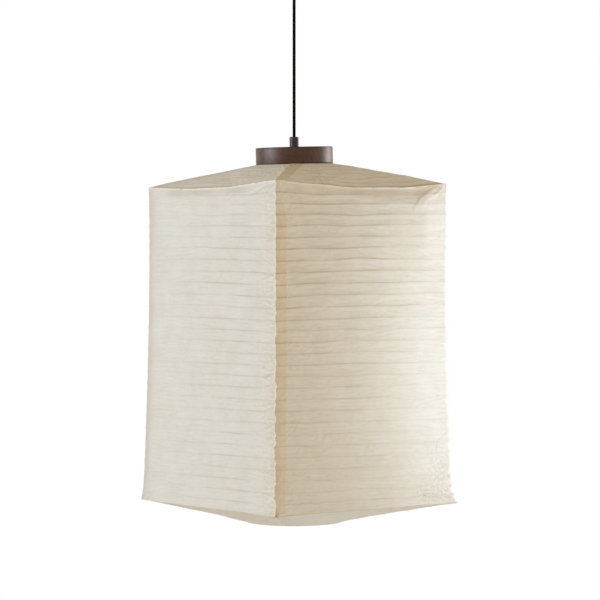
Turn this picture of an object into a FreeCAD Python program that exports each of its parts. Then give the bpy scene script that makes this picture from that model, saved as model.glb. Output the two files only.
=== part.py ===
# Paper pendant lamp: a square ribbed paper shade under a turned walnut cap,
# hung on a textile cord from a ceiling canopy. Millimetres, +Z up.
# The ceiling is the plane z = 0 and the lamp hangs below it on the Z axis.
# The shade's four walls face -Y (front), +X (right), +Y (back) and -X (left).

import FreeCAD
import Part
import Sketcher
import math
import os
import re
from FreeCAD import Vector

doc = FreeCAD.newDocument("paper_pendant_lamp")
sheet = doc.addObject("Spreadsheet::Sheet", "Sizes")

# Driving dimensions in millimetres
SIZES = {
    # Ceiling bracket and canopy
    "bracket_width": 20, "bracket_gauge": 2, "bracket_lug": 15, "supply_hole": 12,
    "bolt_spacing": 70, "slot_width": 4.8, "slot_length": 14,
    "canopy_diameter": 110, "canopy_height": 30, "canopy_wall": 1.2, "canopy_rim": 3,
    "side_screw": 4, "side_screw_head": 7, "side_screw_head_height": 2.4, "side_screw_slot": 0.8,
    "side_screw_drop": 9, "side_screw_end": 1.5,
    "terminal_length": 34, "terminal_width": 18, "terminal_height": 11,
    "terminal_screw": 3, "terminal_screw_head": 5.5, "terminal_screw_head_height": 1.8,
    "terminal_screw_spacing": 24, "cord_entry": 5,
    # Cord and its two grips, which are the same turned collar
    "cord_diameter": 5.5, "cord_drop": 275, "cord_clearance": 0.3,
    "collar_diameter": 17.5, "collar_height": 20, "collar_chamfer": 0.8,
    "mouth_flare": 2.2, "mouth_depth": 3.5,
    "grip_screw": 3, "grip_screw_key": 1.5, "grip_screw_key_depth": 2, "grip_screw_drop": 6,
    # Hollow threaded nipples, their nuts and washer
    "thread_diameter": 10, "thread_grip": 9, "thread_clearance": 0.05,
    "nut_width": 14, "nut_height": 5, "washer_diameter": 26, "washer_gauge": 1.2,
    # Turned cap
    "cap_diameter": 148, "cap_height": 32, "cap_edge": 1.5, "recess_margin": 6,
    # Lampholder
    "holder_diameter": 38, "holder_cap_height": 25, "holder_wall": 2, "holder_boss_diameter": 18,
    "holder_boss": 9, "holder_step": 1, "holder_skirt_height": 36, "holder_neck": 7, "holder_mouth": 9,
    "insert_height": 8, "shell_gauge": 0.5, "shell_length": 19,
    "contact_width": 8, "contact_gauge": 1,
    # Bulb
    "screw_cap_diameter": 26.4, "screw_cap_length": 20, "thread_pitch": 3.6, "thread_depth": 0.9,
    "screw_cap_clearance": 0.4, "insulator_height": 3, "bulb_tip_diameter": 9, "bulb_tip_height": 1.5,
    "housing_length": 34, "housing_diameter": 55, "housing_wall": 1.5,
    "globe_diameter": 60, "globe_wall": 1.2, "bulb_travel_gap": 0.3,
    # Wire stretcher that holds the shade open
    "carrier_diameter": 60, "carrier_gauge": 1.5, "leg_gauge": 3, "leg_bend": 8,
    "leg_overhang": 10, "foot_inset": 11, "foot_overhang": 2.5, "arm_clearance": 1.5,
    # Shade
    "hoop_gauge": 3, "hoop_tuck": 5.5, "mouth_diameter": 181,
    "shade_width": 407, "shade_height": 602, "roof_rise": 44, "roof_crown": 0.22, "floor_drop": 37.5,
    "eave_sag": 8.5, "eave_tuck": 1.9, "skirt_flare": 10, "tip_flare": 2.7,
    "paper_gauge": 0.5, "paper_dip": 1.2, "rib_gauge": 1.6, "glue_gap": 0.1, "seat_gap": 0.2,
}

# Paper bands between the ribs, from the top hoop to the bottom hoop
ROOF_BANDS = 6
WALL_BANDS = 29
FLOOR_BANDS = 5

# Places and fits that follow from the driving dimensions
DERIVED = {
    "canopy_inside": "canopy_diameter / 2 - canopy_wall",
    "bracket_reach": "sqrt((canopy_inside - seat_gap)^2 - (bracket_width / 2)^2)",
    "side_screw_length": "side_screw_head_height + canopy_diameter / 2 - bracket_reach + bracket_gauge"
                         " + side_screw_end",
    "canopy_floor": "-canopy_height + canopy_wall",
    "cord_bore": "cord_diameter / 2 + cord_clearance",
    "thread_bore": "thread_diameter / 2 + thread_clearance",
    "swing_level": "-canopy_height - collar_height",
    "cap_grip_top": "swing_level - cord_drop",
    "cap_top": "cap_grip_top - collar_height",
    "cap_bottom": "cap_top - cap_height",
    "arm_level": "cap_bottom - 2 * seat_gap - hoop_gauge - leg_gauge / 2",
    "carrier_bottom": "arm_level + leg_gauge / 2",
    "carrier_top": "carrier_bottom + carrier_gauge",
    "recess_top": "carrier_top + nut_height + washer_gauge",
    "recess_depth": "recess_top - cap_bottom",
    "recess_radius": "carrier_diameter / 2 + recess_margin",
    "holder_bottom": "carrier_bottom - holder_cap_height",
    "nipple_bottom": "carrier_bottom - holder_boss",
    "holder_bore": "holder_diameter / 2 - holder_wall",
    "neck_radius": "holder_bore - thread_clearance",
    "skirt_radius": "holder_diameter / 2 + holder_step",
    "skirt_bore": "neck_radius - holder_wall",
    "shell_bore": "screw_cap_diameter / 2 + screw_cap_clearance",
    "insert_bottom": "holder_bottom + holder_neck - insert_height",
    "bulb_tip_level": "insert_bottom - contact_gauge - bulb_travel_gap",
    "screw_cap_top": "bulb_tip_level - bulb_tip_height - insulator_height",
    "screw_cap_bottom": "screw_cap_top - screw_cap_length",
    "globe_top": "screw_cap_bottom - housing_length",
    "globe_offset": "sqrt((globe_diameter / 2)^2 - (housing_diameter / 2)^2)",
    "roof_top": "cap_bottom - seat_gap",
    "eave_level": "roof_top - roof_rise",
    "base_level": "eave_level - shade_height",
    "mouth_level": "base_level - floor_drop",
    "top_hoop_radius": "cap_diameter / 2 - hoop_tuck",
    "foot_level": "mouth_level + hoop_gauge + seat_gap + leg_gauge / 2",
}


def fill_sheet():
    for row, (name, number) in enumerate(SIZES.items(), start=1):
        sheet.set(f"A{row}", name)
        sheet.set(f"B{row}", str(number))
        sheet.setAlias(f"B{row}", name)
    doc.recompute()


def formula(text):
    """Write out derived names and point every size named in the text at its cell."""
    def spell(match):
        word = match[0]
        if word in DERIVED:
            return f"({formula(DERIVED[word])})"
        return f"Sizes.{word}" if word in SIZES else word
    return re.sub(r"[a-z_]+", spell, text)


def size(text):
    return float(sheet.evalExpression(formula(text)))


# Building blocks

def place(item, x=None, y=None, z=None):
    for axis, text in (("x", x), ("y", y), ("z", z)):
        if text is not None:
            item.setExpression(f"Placement.Base.{axis}", formula(text))


def bind(item, **properties):
    for name, text in properties.items():
        item.setExpression(name, formula(text))


def new_body(label):
    body = doc.addObject("PartDesign::Body", label)
    body.Label = label
    return body


def new_sketch(body, role, name):
    sketch = body.newObject("Sketcher::SketchObject", name)
    plane = [item for item in body.Origin.OriginFeatures if item.Role == role][0]
    sketch.AttachmentSupport = [(plane, "")]
    sketch.MapMode = "FlatFace"
    return sketch


def draw_outline(sketch, points):
    """A closed outline of straight lines whose corners are bound to formulas."""
    start = sketch.GeometryCount
    count = len(points)
    spots = [Vector(size(across), size(up), 0) for across, up in points]
    for i in range(count):
        sketch.addGeometry(Part.LineSegment(spots[i], spots[(i + 1) % count]), False)
    for i in range(count):
        sketch.addConstraint(Sketcher.Constraint("Coincident", start + i, 2, start + (i + 1) % count, 1))
    for i, corner in enumerate(points):
        for kind, text in zip(("DistanceX", "DistanceY"), corner):
            rule = Sketcher.Constraint(kind, -1, 1, start + i, 1, size(text))
            number = sketch.addConstraint(rule)
            sketch.setExpression(f"Constraints[{number}]", formula(text))


def draw_circle(sketch, radius, across="0", up="0"):
    spot = Vector(size(across), size(up), 0)
    index = sketch.addGeometry(Part.Circle(spot, Vector(0, 0, 1), size(radius)), False)
    rules = (
        (Sketcher.Constraint("Radius", index, size(radius)), radius),
        (Sketcher.Constraint("DistanceX", -1, 1, index, 3, spot.x), across),
        (Sketcher.Constraint("DistanceY", -1, 1, index, 3, spot.y), up),
    )
    for rule, text in rules:
        number = sketch.addConstraint(rule)
        sketch.setExpression(f"Constraints[{number}]", formula(text))


def turned(label, points, level):
    """A piece turned about Z: points are (radius, height) formulas, placed at a level."""
    body = new_body(label)
    sketch = new_sketch(body, "XZ_Plane", f"{label}_outline")
    draw_outline(sketch, points)
    turn = body.newObject("PartDesign::Revolution", f"{label}_turned")
    turn.Profile = sketch
    turn.ReferenceAxis = (sketch, ["V_Axis"])
    turn.Angle = 360
    place(body, z=level)
    doc.recompute()
    return body


def tube(label, outer, bore, length, level):
    """A plain ring or sleeve."""
    return turned(label, [(bore, "0"), (outer, "0"), (outer, length), (bore, length)], level)


def cut_across(body, name, radius, height, reach, both_ways=False):
    """Drill the body along X from its axis, at a height above its own origin."""
    before = body.Shape.Volume
    sketch = new_sketch(body, "YZ_Plane", name)
    draw_circle(sketch, radius, "0", height)
    hole = body.newObject("PartDesign::Pocket", f"{name}_cut")
    hole.Profile = sketch
    bind(hole, Length=reach if not both_ways else f"2 * ({reach})")
    hole.Midplane = both_ways
    hole.Reversed = not both_ways
    body.Tip = hole
    doc.recompute()
    if body.Shape.Volume >= before:
        raise RuntimeError(f"{name} cut nothing")


def cut_down(body, name, draw, depth, level=None):
    """Cut an outline, drawn on the body's XY plane, downwards or from a level of its own."""
    before = body.Shape.Volume
    sketch = new_sketch(body, "XY_Plane", name)
    if level is not None:
        bind(sketch, **{"AttachmentOffset.Base.z": level})
    draw(sketch)
    hole = body.newObject("PartDesign::Pocket", f"{name}_cut")
    hole.Profile = sketch
    bind(hole, Length=depth)
    body.Tip = hole
    doc.recompute()
    if body.Shape.Volume >= before:
        raise RuntimeError(f"{name} cut nothing")
    return hole


def hex_nut(label, level):
    body = new_body(label)
    sketch = new_sketch(body, "XY_Plane", f"{label}_hexagon")
    corner = "nut_width / sqrt(3)"
    half = "nut_width / 2"
    draw_outline(sketch, [
        (corner, "0"), (f"{corner} / 2", half), (f"-{corner} / 2", half),
        (f"-{corner}", "0"), (f"-{corner} / 2", f"-{half}"), (f"{corner} / 2", f"-{half}"),
    ])
    draw_circle(sketch, "thread_bore")
    pad = body.newObject("PartDesign::Pad", f"{label}_pad")
    pad.Profile = sketch
    bind(pad, Length="nut_height")
    place(body, z=level)
    doc.recompute()
    return body


def solid_group(label, pieces):
    """Several equal loose pieces of one kind under one name."""
    item = doc.addObject("Part::Feature", label)
    item.Label = label
    item.Shape = Part.Compound(pieces)
    item.Placement = FreeCAD.Placement()
    return item


def single(label, shape, turn=0):
    """One piece, turned about Z to its place."""
    item = doc.addObject("Part::Feature", label)
    item.Label = label
    item.Shape = shape
    item.Placement = FreeCAD.Placement(Vector(), FreeCAD.Rotation(Vector(0, 0, 1), turn))
    return item


# Ceiling fitting

def ceiling_bracket():
    """A steel strap with turned-down ends: slots for the ceiling screws, lugs for the canopy's screws."""
    body = new_body("ceiling_bracket")
    sketch = new_sketch(body, "XZ_Plane", "strap_section")
    draw_outline(sketch, [
        ("-bracket_reach", "0"), ("bracket_reach", "0"), ("bracket_reach", "-bracket_lug"),
        ("bracket_reach - bracket_gauge", "-bracket_lug"),
        ("bracket_reach - bracket_gauge", "-bracket_gauge"),
        ("-bracket_reach + bracket_gauge", "-bracket_gauge"),
        ("-bracket_reach + bracket_gauge", "-bracket_lug"), ("-bracket_reach", "-bracket_lug"),
    ])
    pad = body.newObject("PartDesign::Pad", "strap")
    pad.Profile = sketch
    pad.Midplane = True
    bind(pad, Length="bracket_width")
    doc.recompute()
    cut_down(body, "supply_entry", lambda sketch: draw_circle(sketch, "supply_hole / 2"), "bracket_gauge")
    for side, sign in (("left", "-1"), ("right", "1")):
        cut_down(body, f"{side}_slot", lambda sketch: draw_slot(sketch, sign), "bracket_gauge")
        spot = f"{sign} * terminal_screw_spacing / 2"
        cut_down(body, f"{side}_tap",
                 lambda sketch: draw_circle(sketch, "terminal_screw / 2 + thread_clearance", spot),
                 "bracket_gauge")
    cut_across(body, "lug_taps", "side_screw / 2 + thread_clearance", "-side_screw_drop",
               "bracket_reach + bracket_gauge", both_ways=True)


def draw_slot(sketch, sign):
    """A slot along X with round ends, centred on a ceiling screw's place."""
    middle = size(f"{sign} * bolt_spacing / 2")
    radius = size("slot_width / 2")
    half = size("(slot_length - slot_width) / 2")
    ends = (middle - half, middle + half)
    up = Vector(0, 0, 1)
    arc_right = Part.ArcOfCircle(Part.Circle(Vector(ends[1], 0, 0), up, radius), -math.pi / 2, math.pi / 2)
    arc_left = Part.ArcOfCircle(Part.Circle(Vector(ends[0], 0, 0), up, radius), math.pi / 2, 3 * math.pi / 2)
    first = sketch.addGeometry([
        arc_right, Part.LineSegment(Vector(ends[1], radius, 0), Vector(ends[0], radius, 0)),
        arc_left, Part.LineSegment(Vector(ends[0], -radius, 0), Vector(ends[1], -radius, 0)),
    ], False)[0]
    for i in range(4):
        sketch.addConstraint(Sketcher.Constraint("Tangent", first + i, 2, first + (i + 1) % 4, 1))
    bound = (
        (Sketcher.Constraint("Radius", first, radius), "slot_width / 2"),
        (Sketcher.Constraint("DistanceX", -1, 1, first, 3, ends[1]),
         f"{sign} * bolt_spacing / 2 + (slot_length - slot_width) / 2"),
        (Sketcher.Constraint("DistanceX", -1, 1, first + 2, 3, ends[0]),
         f"{sign} * bolt_spacing / 2 - (slot_length - slot_width) / 2"),
        (Sketcher.Constraint("DistanceY", -1, 1, first, 3, 0.0), "0"),
    )
    for rule, text in bound:
        number = sketch.addConstraint(rule)
        sketch.setExpression(f"Constraints[{number}]", formula(text))


def canopy():
    """A spun cup, open to the ceiling, with a rolled rim and a hole for the nipple."""
    outer = "canopy_diameter / 2"
    floor = "canopy_wall"
    cup = turned("canopy_cup", [
        ("thread_bore", "0"), (f"{outer} - canopy_rim", "0"), (outer, "canopy_rim"),
        (outer, "canopy_height"), ("canopy_inside", "canopy_height"),
        ("canopy_inside", "canopy_rim + canopy_wall / 2"),
        (f"{outer} - canopy_rim - canopy_wall / 2", floor), ("thread_bore", floor),
    ], "-canopy_height")
    cut_across(cup, "side_holes", "side_screw / 2 + cord_clearance", "canopy_height - side_screw_drop",
               f"{outer} + canopy_wall", both_ways=True)
    screw = [("0", "0"), ("side_screw_head / 2", "0"), ("side_screw_head / 2", "side_screw_head_height"),
             ("side_screw / 2", "side_screw_head_height"), ("side_screw / 2", "side_screw_length"),
             ("0", "side_screw_length")]
    points = [Vector(size(r), 0, size(z)) for r, z in screw]
    shape = Part.Face(Part.makePolygon(points + points[:1])).revolve(Vector(), Vector(0, 0, 1), 360)
    shape.translate(Vector(0, 0, -size("side_screw_head_height")))
    slot = Part.makeBox(size("side_screw_head"), size("side_screw_slot"), size("side_screw_slot"))
    slot.translate(Vector(-size("side_screw_head / 2"), -size("side_screw_slot / 2"),
                          -size("side_screw_head_height")))
    shape = shape.cut(slot)
    screws = []
    for turn in (0, 180):
        one = shape.copy()
        one.rotate(Vector(), Vector(0, 1, 0), -90)
        one.translate(Vector(size(outer), 0, -size("side_screw_drop")))
        one.rotate(Vector(), Vector(0, 0, 1), turn)
        screws.append(one)
    solid_group("canopy_screws", screws)


def terminal():
    """A terminal housing screwed under the bracket, with the cord's entry in its underside."""
    body = new_body("terminal_block")
    sketch = new_sketch(body, "XY_Plane", "terminal_plan")
    half, deep = "terminal_length / 2", "terminal_width / 2"
    draw_outline(sketch, [(f"-{half}", f"-{deep}"), (half, f"-{deep}"), (half, deep), (f"-{half}", deep)])
    pad = body.newObject("PartDesign::Pad", "terminal_pad")
    pad.Profile = sketch
    pad.Reversed = True
    bind(pad, Length="terminal_height")
    doc.recompute()
    for side, sign in (("left", "-1"), ("right", "1")):
        spot = f"{sign} * terminal_screw_spacing / 2"
        cut_down(body, f"terminal_{side}_hole",
                 lambda sketch: draw_circle(sketch, "terminal_screw / 2 + cord_clearance", spot),
                 "terminal_height")
    cut_down(body, "supply_well", lambda sketch: draw_circle(sketch, "supply_hole / 2"),
             "terminal_height - cord_entry - canopy_wall")
    cut_down(body, "cord_well", lambda sketch: draw_circle(sketch, "cord_bore"), "cord_entry",
             level="-terminal_height + cord_entry")
    place(body, z="-bracket_gauge")
    screws = []
    for sign in (-1, 1):
        spot = Vector(sign * size("terminal_screw_spacing / 2"), 0, -size("bracket_gauge + terminal_height"))
        shank = Part.makeCylinder(size("terminal_screw / 2"), size("terminal_height + bracket_gauge"), spot)
        low = spot - Vector(0, 0, size("terminal_screw_head_height"))
        head = Part.makeCylinder(size("terminal_screw_head / 2"), size("terminal_screw_head_height"), low)
        screws.append(shank.fuse(head).removeSplitter())
    solid_group("terminal_screws", screws)


def collar(label, level, mouth_down):
    """A turned cord grip: threaded at one end, a flared mouth for the cord at the other."""
    outer = "collar_diameter / 2"
    points = [
        ("thread_bore", "0"), (outer, "0"), (outer, "collar_height - collar_chamfer"),
        (f"{outer} - collar_chamfer", "collar_height"), ("cord_bore + mouth_flare", "collar_height"),
        ("cord_bore", "collar_height - mouth_depth"), ("cord_bore", "thread_grip"),
        ("thread_bore", "thread_grip"),
    ]
    drop = "collar_height - grip_screw_drop"
    if mouth_down:
        points = [(radius, f"collar_height - ({height})") for radius, height in points]
        drop = "grip_screw_drop"
    body = turned(label, points, level)
    cut_across(body, f"{label}_tap", "grip_screw / 2 + thread_clearance", drop, outer)
    return body


def grip_screw(label, level):
    """A headless screw with a key socket, which presses the cord in its collar."""
    length = "collar_diameter / 2 - cord_bore"
    body = new_body(label)
    sketch = new_sketch(body, "YZ_Plane", f"{label}_round")
    draw_circle(sketch, "grip_screw / 2")
    pad = body.newObject("PartDesign::Pad", f"{label}_pad")
    pad.Profile = sketch
    bind(pad, Length=length)
    doc.recompute()
    socket = new_sketch(body, "YZ_Plane", f"{label}_socket")
    bind(socket, **{"AttachmentOffset.Base.z": length})
    corner, half = "grip_screw_key / sqrt(3)", "grip_screw_key / 2"
    draw_outline(socket, [
        (corner, "0"), (f"{corner} / 2", half), (f"-{corner} / 2", half),
        (f"-{corner}", "0"), (f"-{corner} / 2", f"-{half}"), (f"{corner} / 2", f"-{half}"),
    ])
    pocket = body.newObject("PartDesign::Pocket", f"{label}_key")
    pocket.Profile = socket
    bind(pocket, Length="grip_screw_key_depth")
    body.Tip = pocket
    place(body, x="cord_bore", z=level)
    doc.recompute()


def ceiling_grip():
    """Nipple, nut and collar that hold the cord in the canopy's floor."""
    bottom = "-canopy_height - thread_grip"
    tube("canopy_nipple", "thread_diameter / 2", "cord_bore",
         "thread_grip + canopy_wall + nut_height", bottom)
    hex_nut("canopy_nut", "canopy_floor")
    collar("canopy_grip", "swing_level", mouth_down=True)
    grip_screw("canopy_grip_screw", "swing_level + grip_screw_drop")


# Cord

def cord():
    """Three stretches: fixed in the canopy, the bend at its mouth, and the drop into the lamp."""
    tail = doc.addObject("Part::Cylinder", "tail_length")
    bind(tail, Radius="cord_diameter / 2",
         Height="-bracket_gauge - terminal_height + cord_entry - seat_gap - swing_level")
    place(tail, z="swing_level")
    hollow_end("cord_tail", tail)
    bend = doc.addObject("Part::Sphere", "cord_bend")
    bend.Label = "cord_bend"
    bind(bend, Radius="cord_diameter / 2")
    place(bend, z="swing_level")
    drop = doc.addObject("Part::Cylinder", "drop_length")
    bind(drop, Radius="cord_diameter / 2", Height="swing_level - nipple_bottom")
    place(drop, z="nipple_bottom")
    hollow_end("cord_drop", drop)


def hollow_end(label, stretch):
    """Round the end of a stretch of cord clear of the bend."""
    room = doc.addObject("Part::Sphere", f"{label}_room")
    bind(room, Radius="cord_bore")
    place(room, z="swing_level")
    cut = doc.addObject("Part::Cut", label)
    cut.Label = label
    cut.Base = stretch
    cut.Tool = room


# Cap and lampholder

def cap():
    """The turned walnut disc, with its grip above and its washer and nut in a recess below."""
    outer = "cap_diameter / 2"
    turned("cap_disc", [
        ("thread_bore", "recess_depth"), ("recess_radius", "recess_depth"), ("recess_radius", "0"),
        (f"{outer} - cap_edge", "0"), (outer, "cap_edge"), (outer, "cap_height - cap_edge"),
        (f"{outer} - cap_edge", "cap_height"), ("thread_bore", "cap_height"),
    ], "cap_bottom")
    collar("cap_grip", "cap_top", mouth_down=False)
    grip_screw("cap_grip_screw", "cap_grip_top - grip_screw_drop")
    tube("cap_nipple", "thread_diameter / 2", "cord_bore",
         "cap_top + thread_grip - nipple_bottom", "nipple_bottom")
    tube("cap_washer", "washer_diameter / 2", "thread_bore", "washer_gauge", "recess_top - washer_gauge")
    hex_nut("cap_nut", "carrier_top")


def lampholder():
    """A screw lampholder: cap on the nipple, skirt, insulating insert, shell and centre contact."""
    outer = "holder_diameter / 2"
    turned("holder_cap", [
        ("thread_bore", "holder_cap_height"), (f"{outer} - holder_wall", "holder_cap_height"),
        (outer, "holder_cap_height - holder_wall"), (outer, "0"), ("holder_bore", "0"),
        ("holder_bore", "holder_cap_height - holder_wall"),
        ("holder_boss_diameter / 2", "holder_cap_height - holder_wall"),
        ("holder_boss_diameter / 2", "holder_cap_height - holder_boss"),
        ("thread_bore", "holder_cap_height - holder_boss"),
    ], "holder_bottom")
    turned("holder_skirt", [
        ("skirt_bore", "holder_skirt_height + holder_neck"), ("neck_radius", "holder_skirt_height + holder_neck"),
        ("neck_radius", "holder_skirt_height"), ("skirt_radius", "holder_skirt_height"),
        ("skirt_radius", "0"), ("skirt_radius - holder_wall", "0"),
        ("skirt_bore", "holder_mouth"),
    ], "holder_bottom - holder_skirt_height")
    radius = "skirt_bore - thread_clearance"
    turned("holder_insert", [("0", "0"), (radius, "0"), (radius, "insert_height"), ("0", "insert_height")],
           "insert_bottom")
    tube("screw_shell", "shell_bore + shell_gauge", "shell_bore", "shell_length",
         "insert_bottom - shell_length")
    turned("centre_contact", [("0", "0"), ("contact_width / 2", "0"), ("contact_width / 2", "contact_gauge"),
                              ("0", "contact_gauge")], "insert_bottom - contact_gauge")


# Bulb

def bulb():
    """An opal globe bulb: contact tip, insulator, rolled screw cap, housing and globe."""
    crest = "screw_cap_diameter / 2"
    root = "screw_cap_diameter / 2 - thread_depth"
    turned("bulb_tip", [("0", "0"), ("bulb_tip_diameter / 2", "0"),
                        ("bulb_tip_diameter / 2 - bulb_tip_height", "bulb_tip_height"), ("0", "bulb_tip_height")],
           "bulb_tip_level - bulb_tip_height")
    turned("bulb_insulator", [("0", "0"), (root, "0"), ("bulb_tip_diameter / 2", "insulator_height"),
                              ("0", "insulator_height")], "screw_cap_top")
    ridges = int(size("screw_cap_length / thread_pitch"))
    thread = []
    for i in range(ridges):
        thread += [(root, f"{i} * thread_pitch"), (crest, f"{i + 0.5} * thread_pitch")]
    turned("bulb_screw_cap", [("0", "0")] + thread + [
        (root, f"{ridges} * thread_pitch"), (root, "screw_cap_length"), ("0", "screw_cap_length")],
        "screw_cap_bottom")
    wide = "housing_diameter / 2"
    turned("bulb_housing", [
        ("0", "housing_length"), (root, "housing_length"), (root, "housing_length - housing_wall"),
        (wide, "0"), (f"{wide} - housing_wall", "0"),
        (f"{root} - housing_wall", "housing_length - 2 * housing_wall"), ("0", "housing_length - 2 * housing_wall"),
    ], "globe_top")
    outside = doc.addObject("Part::Sphere", "globe_outside")
    bind(outside, Radius="globe_diameter / 2", Angle2="acos(housing_diameter / globe_diameter)")
    inside = doc.addObject("Part::Sphere", "globe_inside")
    bind(inside, Radius="globe_diameter / 2 - globe_wall")
    for sphere in (outside, inside):
        place(sphere, z="globe_top - globe_offset")
    globe = doc.addObject("Part::Cut", "bulb_globe")
    globe.Label = "bulb_globe"
    globe.Base = outside
    globe.Tool = inside


# Wire stretcher

def stretcher():
    """A plate clamped on the nipple carries two bent wires: the top hoop rests on their arms
    and their feet press the bottom hoop down."""
    tube("carrier_plate", "carrier_diameter / 2", "thread_bore", "carrier_gauge", "carrier_bottom")
    corners = [
        Vector(size("holder_diameter / 2 + arm_clearance"), 0, size("arm_level")),
        Vector(size("top_hoop_radius + leg_overhang"), 0, size("arm_level")),
        Vector(size("mouth_diameter / 2 - foot_inset"), 0, size("foot_level")),
        Vector(size("mouth_diameter / 2 + foot_overhang"), 0, size("foot_level")),
    ]
    wire = bent_wire(corners, size("leg_bend"), size("leg_gauge / 2"))
    single("stretcher_leg_right", wire)
    single("stretcher_leg_left", wire, 180)


def bent_wire(corners, bend, radius):
    """A round wire along straight runs joined by equal bends."""
    edges = []
    start = corners[0]
    for before, corner, after in zip(corners, corners[1:], corners[2:]):
        back = (before - corner).normalize()
        ahead = (after - corner).normalize()
        half_turn = back.getAngle(ahead) / 2
        tangent = bend / math.tan(half_turn)
        middle = corner + (back + ahead).normalize() * (bend / math.sin(half_turn) - bend)
        first, last = corner + back * tangent, corner + ahead * tangent
        edges.append(Part.LineSegment(start, first).toShape())
        edges.append(Part.Arc(first, middle, last).toShape())
        start = last
    edges.append(Part.LineSegment(start, corners[-1]).toShape())
    section = Part.Wire([Part.makeCircle(radius, corners[0], corners[1] - corners[0])])
    return Part.Wire(edges).makePipe(Part.Face(section))


# Shade: every level is one square turn of the paper, round at the hoops.
# A level holds its corner's distance from the walls' middle planes, the distance of the middle of a
# wall, and the heights of both.

class Level:
    def __init__(self, corner, middle, corner_z, middle_z, ribbed=True):
        self.corner = corner
        self.middle = middle
        self.corner_z = corner_z
        self.middle_z = middle_z
        self.ribbed = ribbed
        self.faces = [(1.0, 0.0)]

    def inset(self, depth, half_square=0.0):
        """Corner, middle and corner of the right wall at a depth below both faces that meet here.
        A half square adds the room that a square rib needs to stay clear of them."""
        inward, down = meet(self.faces, [depth + half_square * (abs(out) + abs(up)) for out, up in self.faces])
        corner, middle = self.corner - inward, self.middle - inward
        corner_z, middle_z = self.corner_z - down, self.middle_z - down
        return Vector(corner, -corner, corner_z), Vector(middle, 0, middle_z), Vector(corner, corner, corner_z)


def meet(faces, depths):
    """The step from a ridge to the point that lies at the given depths below its two faces."""
    (out, up), (next_out, next_up) = faces[0], faces[-1]
    area = out * next_up - up * next_out
    if abs(area) < 1e-6:
        return depths[0] * out, depths[0] * up
    return ((depths[0] * next_up - depths[-1] * up) / area, (depths[-1] * out - depths[0] * next_out) / area)


def blend(low, high, share):
    return low + (high - low) * share


def shade_levels():
    """Ribbed levels from the top hoop to the bottom hoop, with a sunken level in each band between."""
    eave = size("shade_width / 2")
    edge = size("hoop_gauge / 2 + glue_gap + 2 * paper_gauge")
    top = size("top_hoop_radius") + edge
    mouth = size("mouth_diameter / 2") + edge
    levels = []
    for i in range(ROOF_BANDS):
        share = i / ROOF_BANDS
        fall = share * (1 - size("roof_crown")) + share ** 2 * size("roof_crown")
        levels.append(Level(blend(top / math.sqrt(2), eave, share), blend(top, eave, share),
                            size("roof_top") - fall * size("roof_rise"),
                            size("roof_top") - fall * size("roof_rise + eave_sag")))
    for i in range(WALL_BANDS + 1):
        share = i / WALL_BANDS
        middle = eave - size("eave_tuck") * (1 - (1 - share) ** 6) + size("skirt_flare") * share ** 2
        corner = middle + size("tip_flare") * share ** 30
        height = size("eave_level") - share * size("shade_height")
        sag = size("eave_sag") * max(0, 1 - i / 3) ** 2
        levels.append(Level(corner, middle, height, height - sag))
    base = levels[-1]
    for i in range(1, FLOOR_BANDS + 1):
        share = i / FLOOR_BANDS
        height = size("base_level") - share * size("floor_drop")
        levels.append(Level(blend(base.corner, mouth / math.sqrt(2), share), blend(base.middle, mouth, share),
                            height, height))
    levels = with_sunken_bands(levels)
    for before, level, after in zip(levels, levels[1:], levels[2:]):
        level.faces = [facing(before, level), facing(level, after)]
    return levels


def facing(upper, lower):
    """The way out of the paper between two levels, as shares outwards and upwards."""
    run = lower.middle - upper.middle
    fall = upper.middle_z - lower.middle_z
    length = math.hypot(run, fall)
    return fall / length, run / length


def with_sunken_bands(levels):
    """Add a level between each two ribs, where the paper has drawn in as it dried."""
    dip = size("paper_dip")
    result = [levels[0]]
    for upper, lower in zip(levels, levels[1:]):
        out, up = facing(upper, lower)
        result += [Level((upper.corner + lower.corner) / 2 - dip * out, (upper.middle + lower.middle) / 2 - dip * out,
                         (upper.corner_z + lower.corner_z) / 2 - dip * up,
                         (upper.middle_z + lower.middle_z) / 2 - dip * up, ribbed=False), lower]
    return result


STRAIGHT = 0.2  # a side that bows by less than this is drawn as a straight line


def side_edge(start, middle, end):
    bow = (middle - (start + end) * 0.5).Length
    if bow < STRAIGHT:
        return Part.LineSegment(start, end).toShape()
    return Part.Arc(start, middle, end).toShape()


def around(shape):
    """The same side of the square four times, a quarter turn apart."""
    copies = []
    for quarter in range(4):
        one = shape.copy()
        one.rotate(Vector(), Vector(0, 0, 1), 90 * quarter)
        copies.append(one)
    return copies


def paper_panels(levels):
    """Four sheets from hoop to hoop, each a ruled loft through all levels, meeting on the corners."""
    gauge = size("paper_gauge")
    sections = []
    for level in levels:
        thick = 2 * gauge if level in (levels[0], levels[-1]) else gauge
        outer, inner = level.inset(0), level.inset(thick)
        sections.append(Part.Wire([
            side_edge(*outer), Part.LineSegment(outer[2], inner[2]).toShape(),
            side_edge(*reversed(inner)), Part.LineSegment(inner[0], outer[0]).toShape(),
        ]))
    panel = Part.makeLoft(sections, True, True)
    for quarter, name in enumerate(("right", "back", "left", "front")):
        single(f"paper_{name}", panel, 90 * quarter)


def rib(level):
    """A square turn of split cane against the paper's inside."""
    gauge = size("rib_gauge")
    start, middle, end = level.inset(size("paper_gauge + glue_gap"), gauge / 2)
    lift = Vector(0, 0, gauge / 2)
    sides = []
    for shift in (gauge / 2, -gauge / 2):
        across = Vector(shift, shift, 0)
        back = Vector(shift, -shift, 0)
        sides.append(side_edge(start + back - lift, middle + Vector(shift, 0, 0) - lift, end + across - lift))
    strip = Part.makeRuledSurface(sides[0], sides[1]).extrude(Vector(0, 0, gauge))
    strips = around(strip)
    ring = strips[0].fuse(strips[1:]).removeSplitter()
    return ring.Solids[0]


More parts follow.
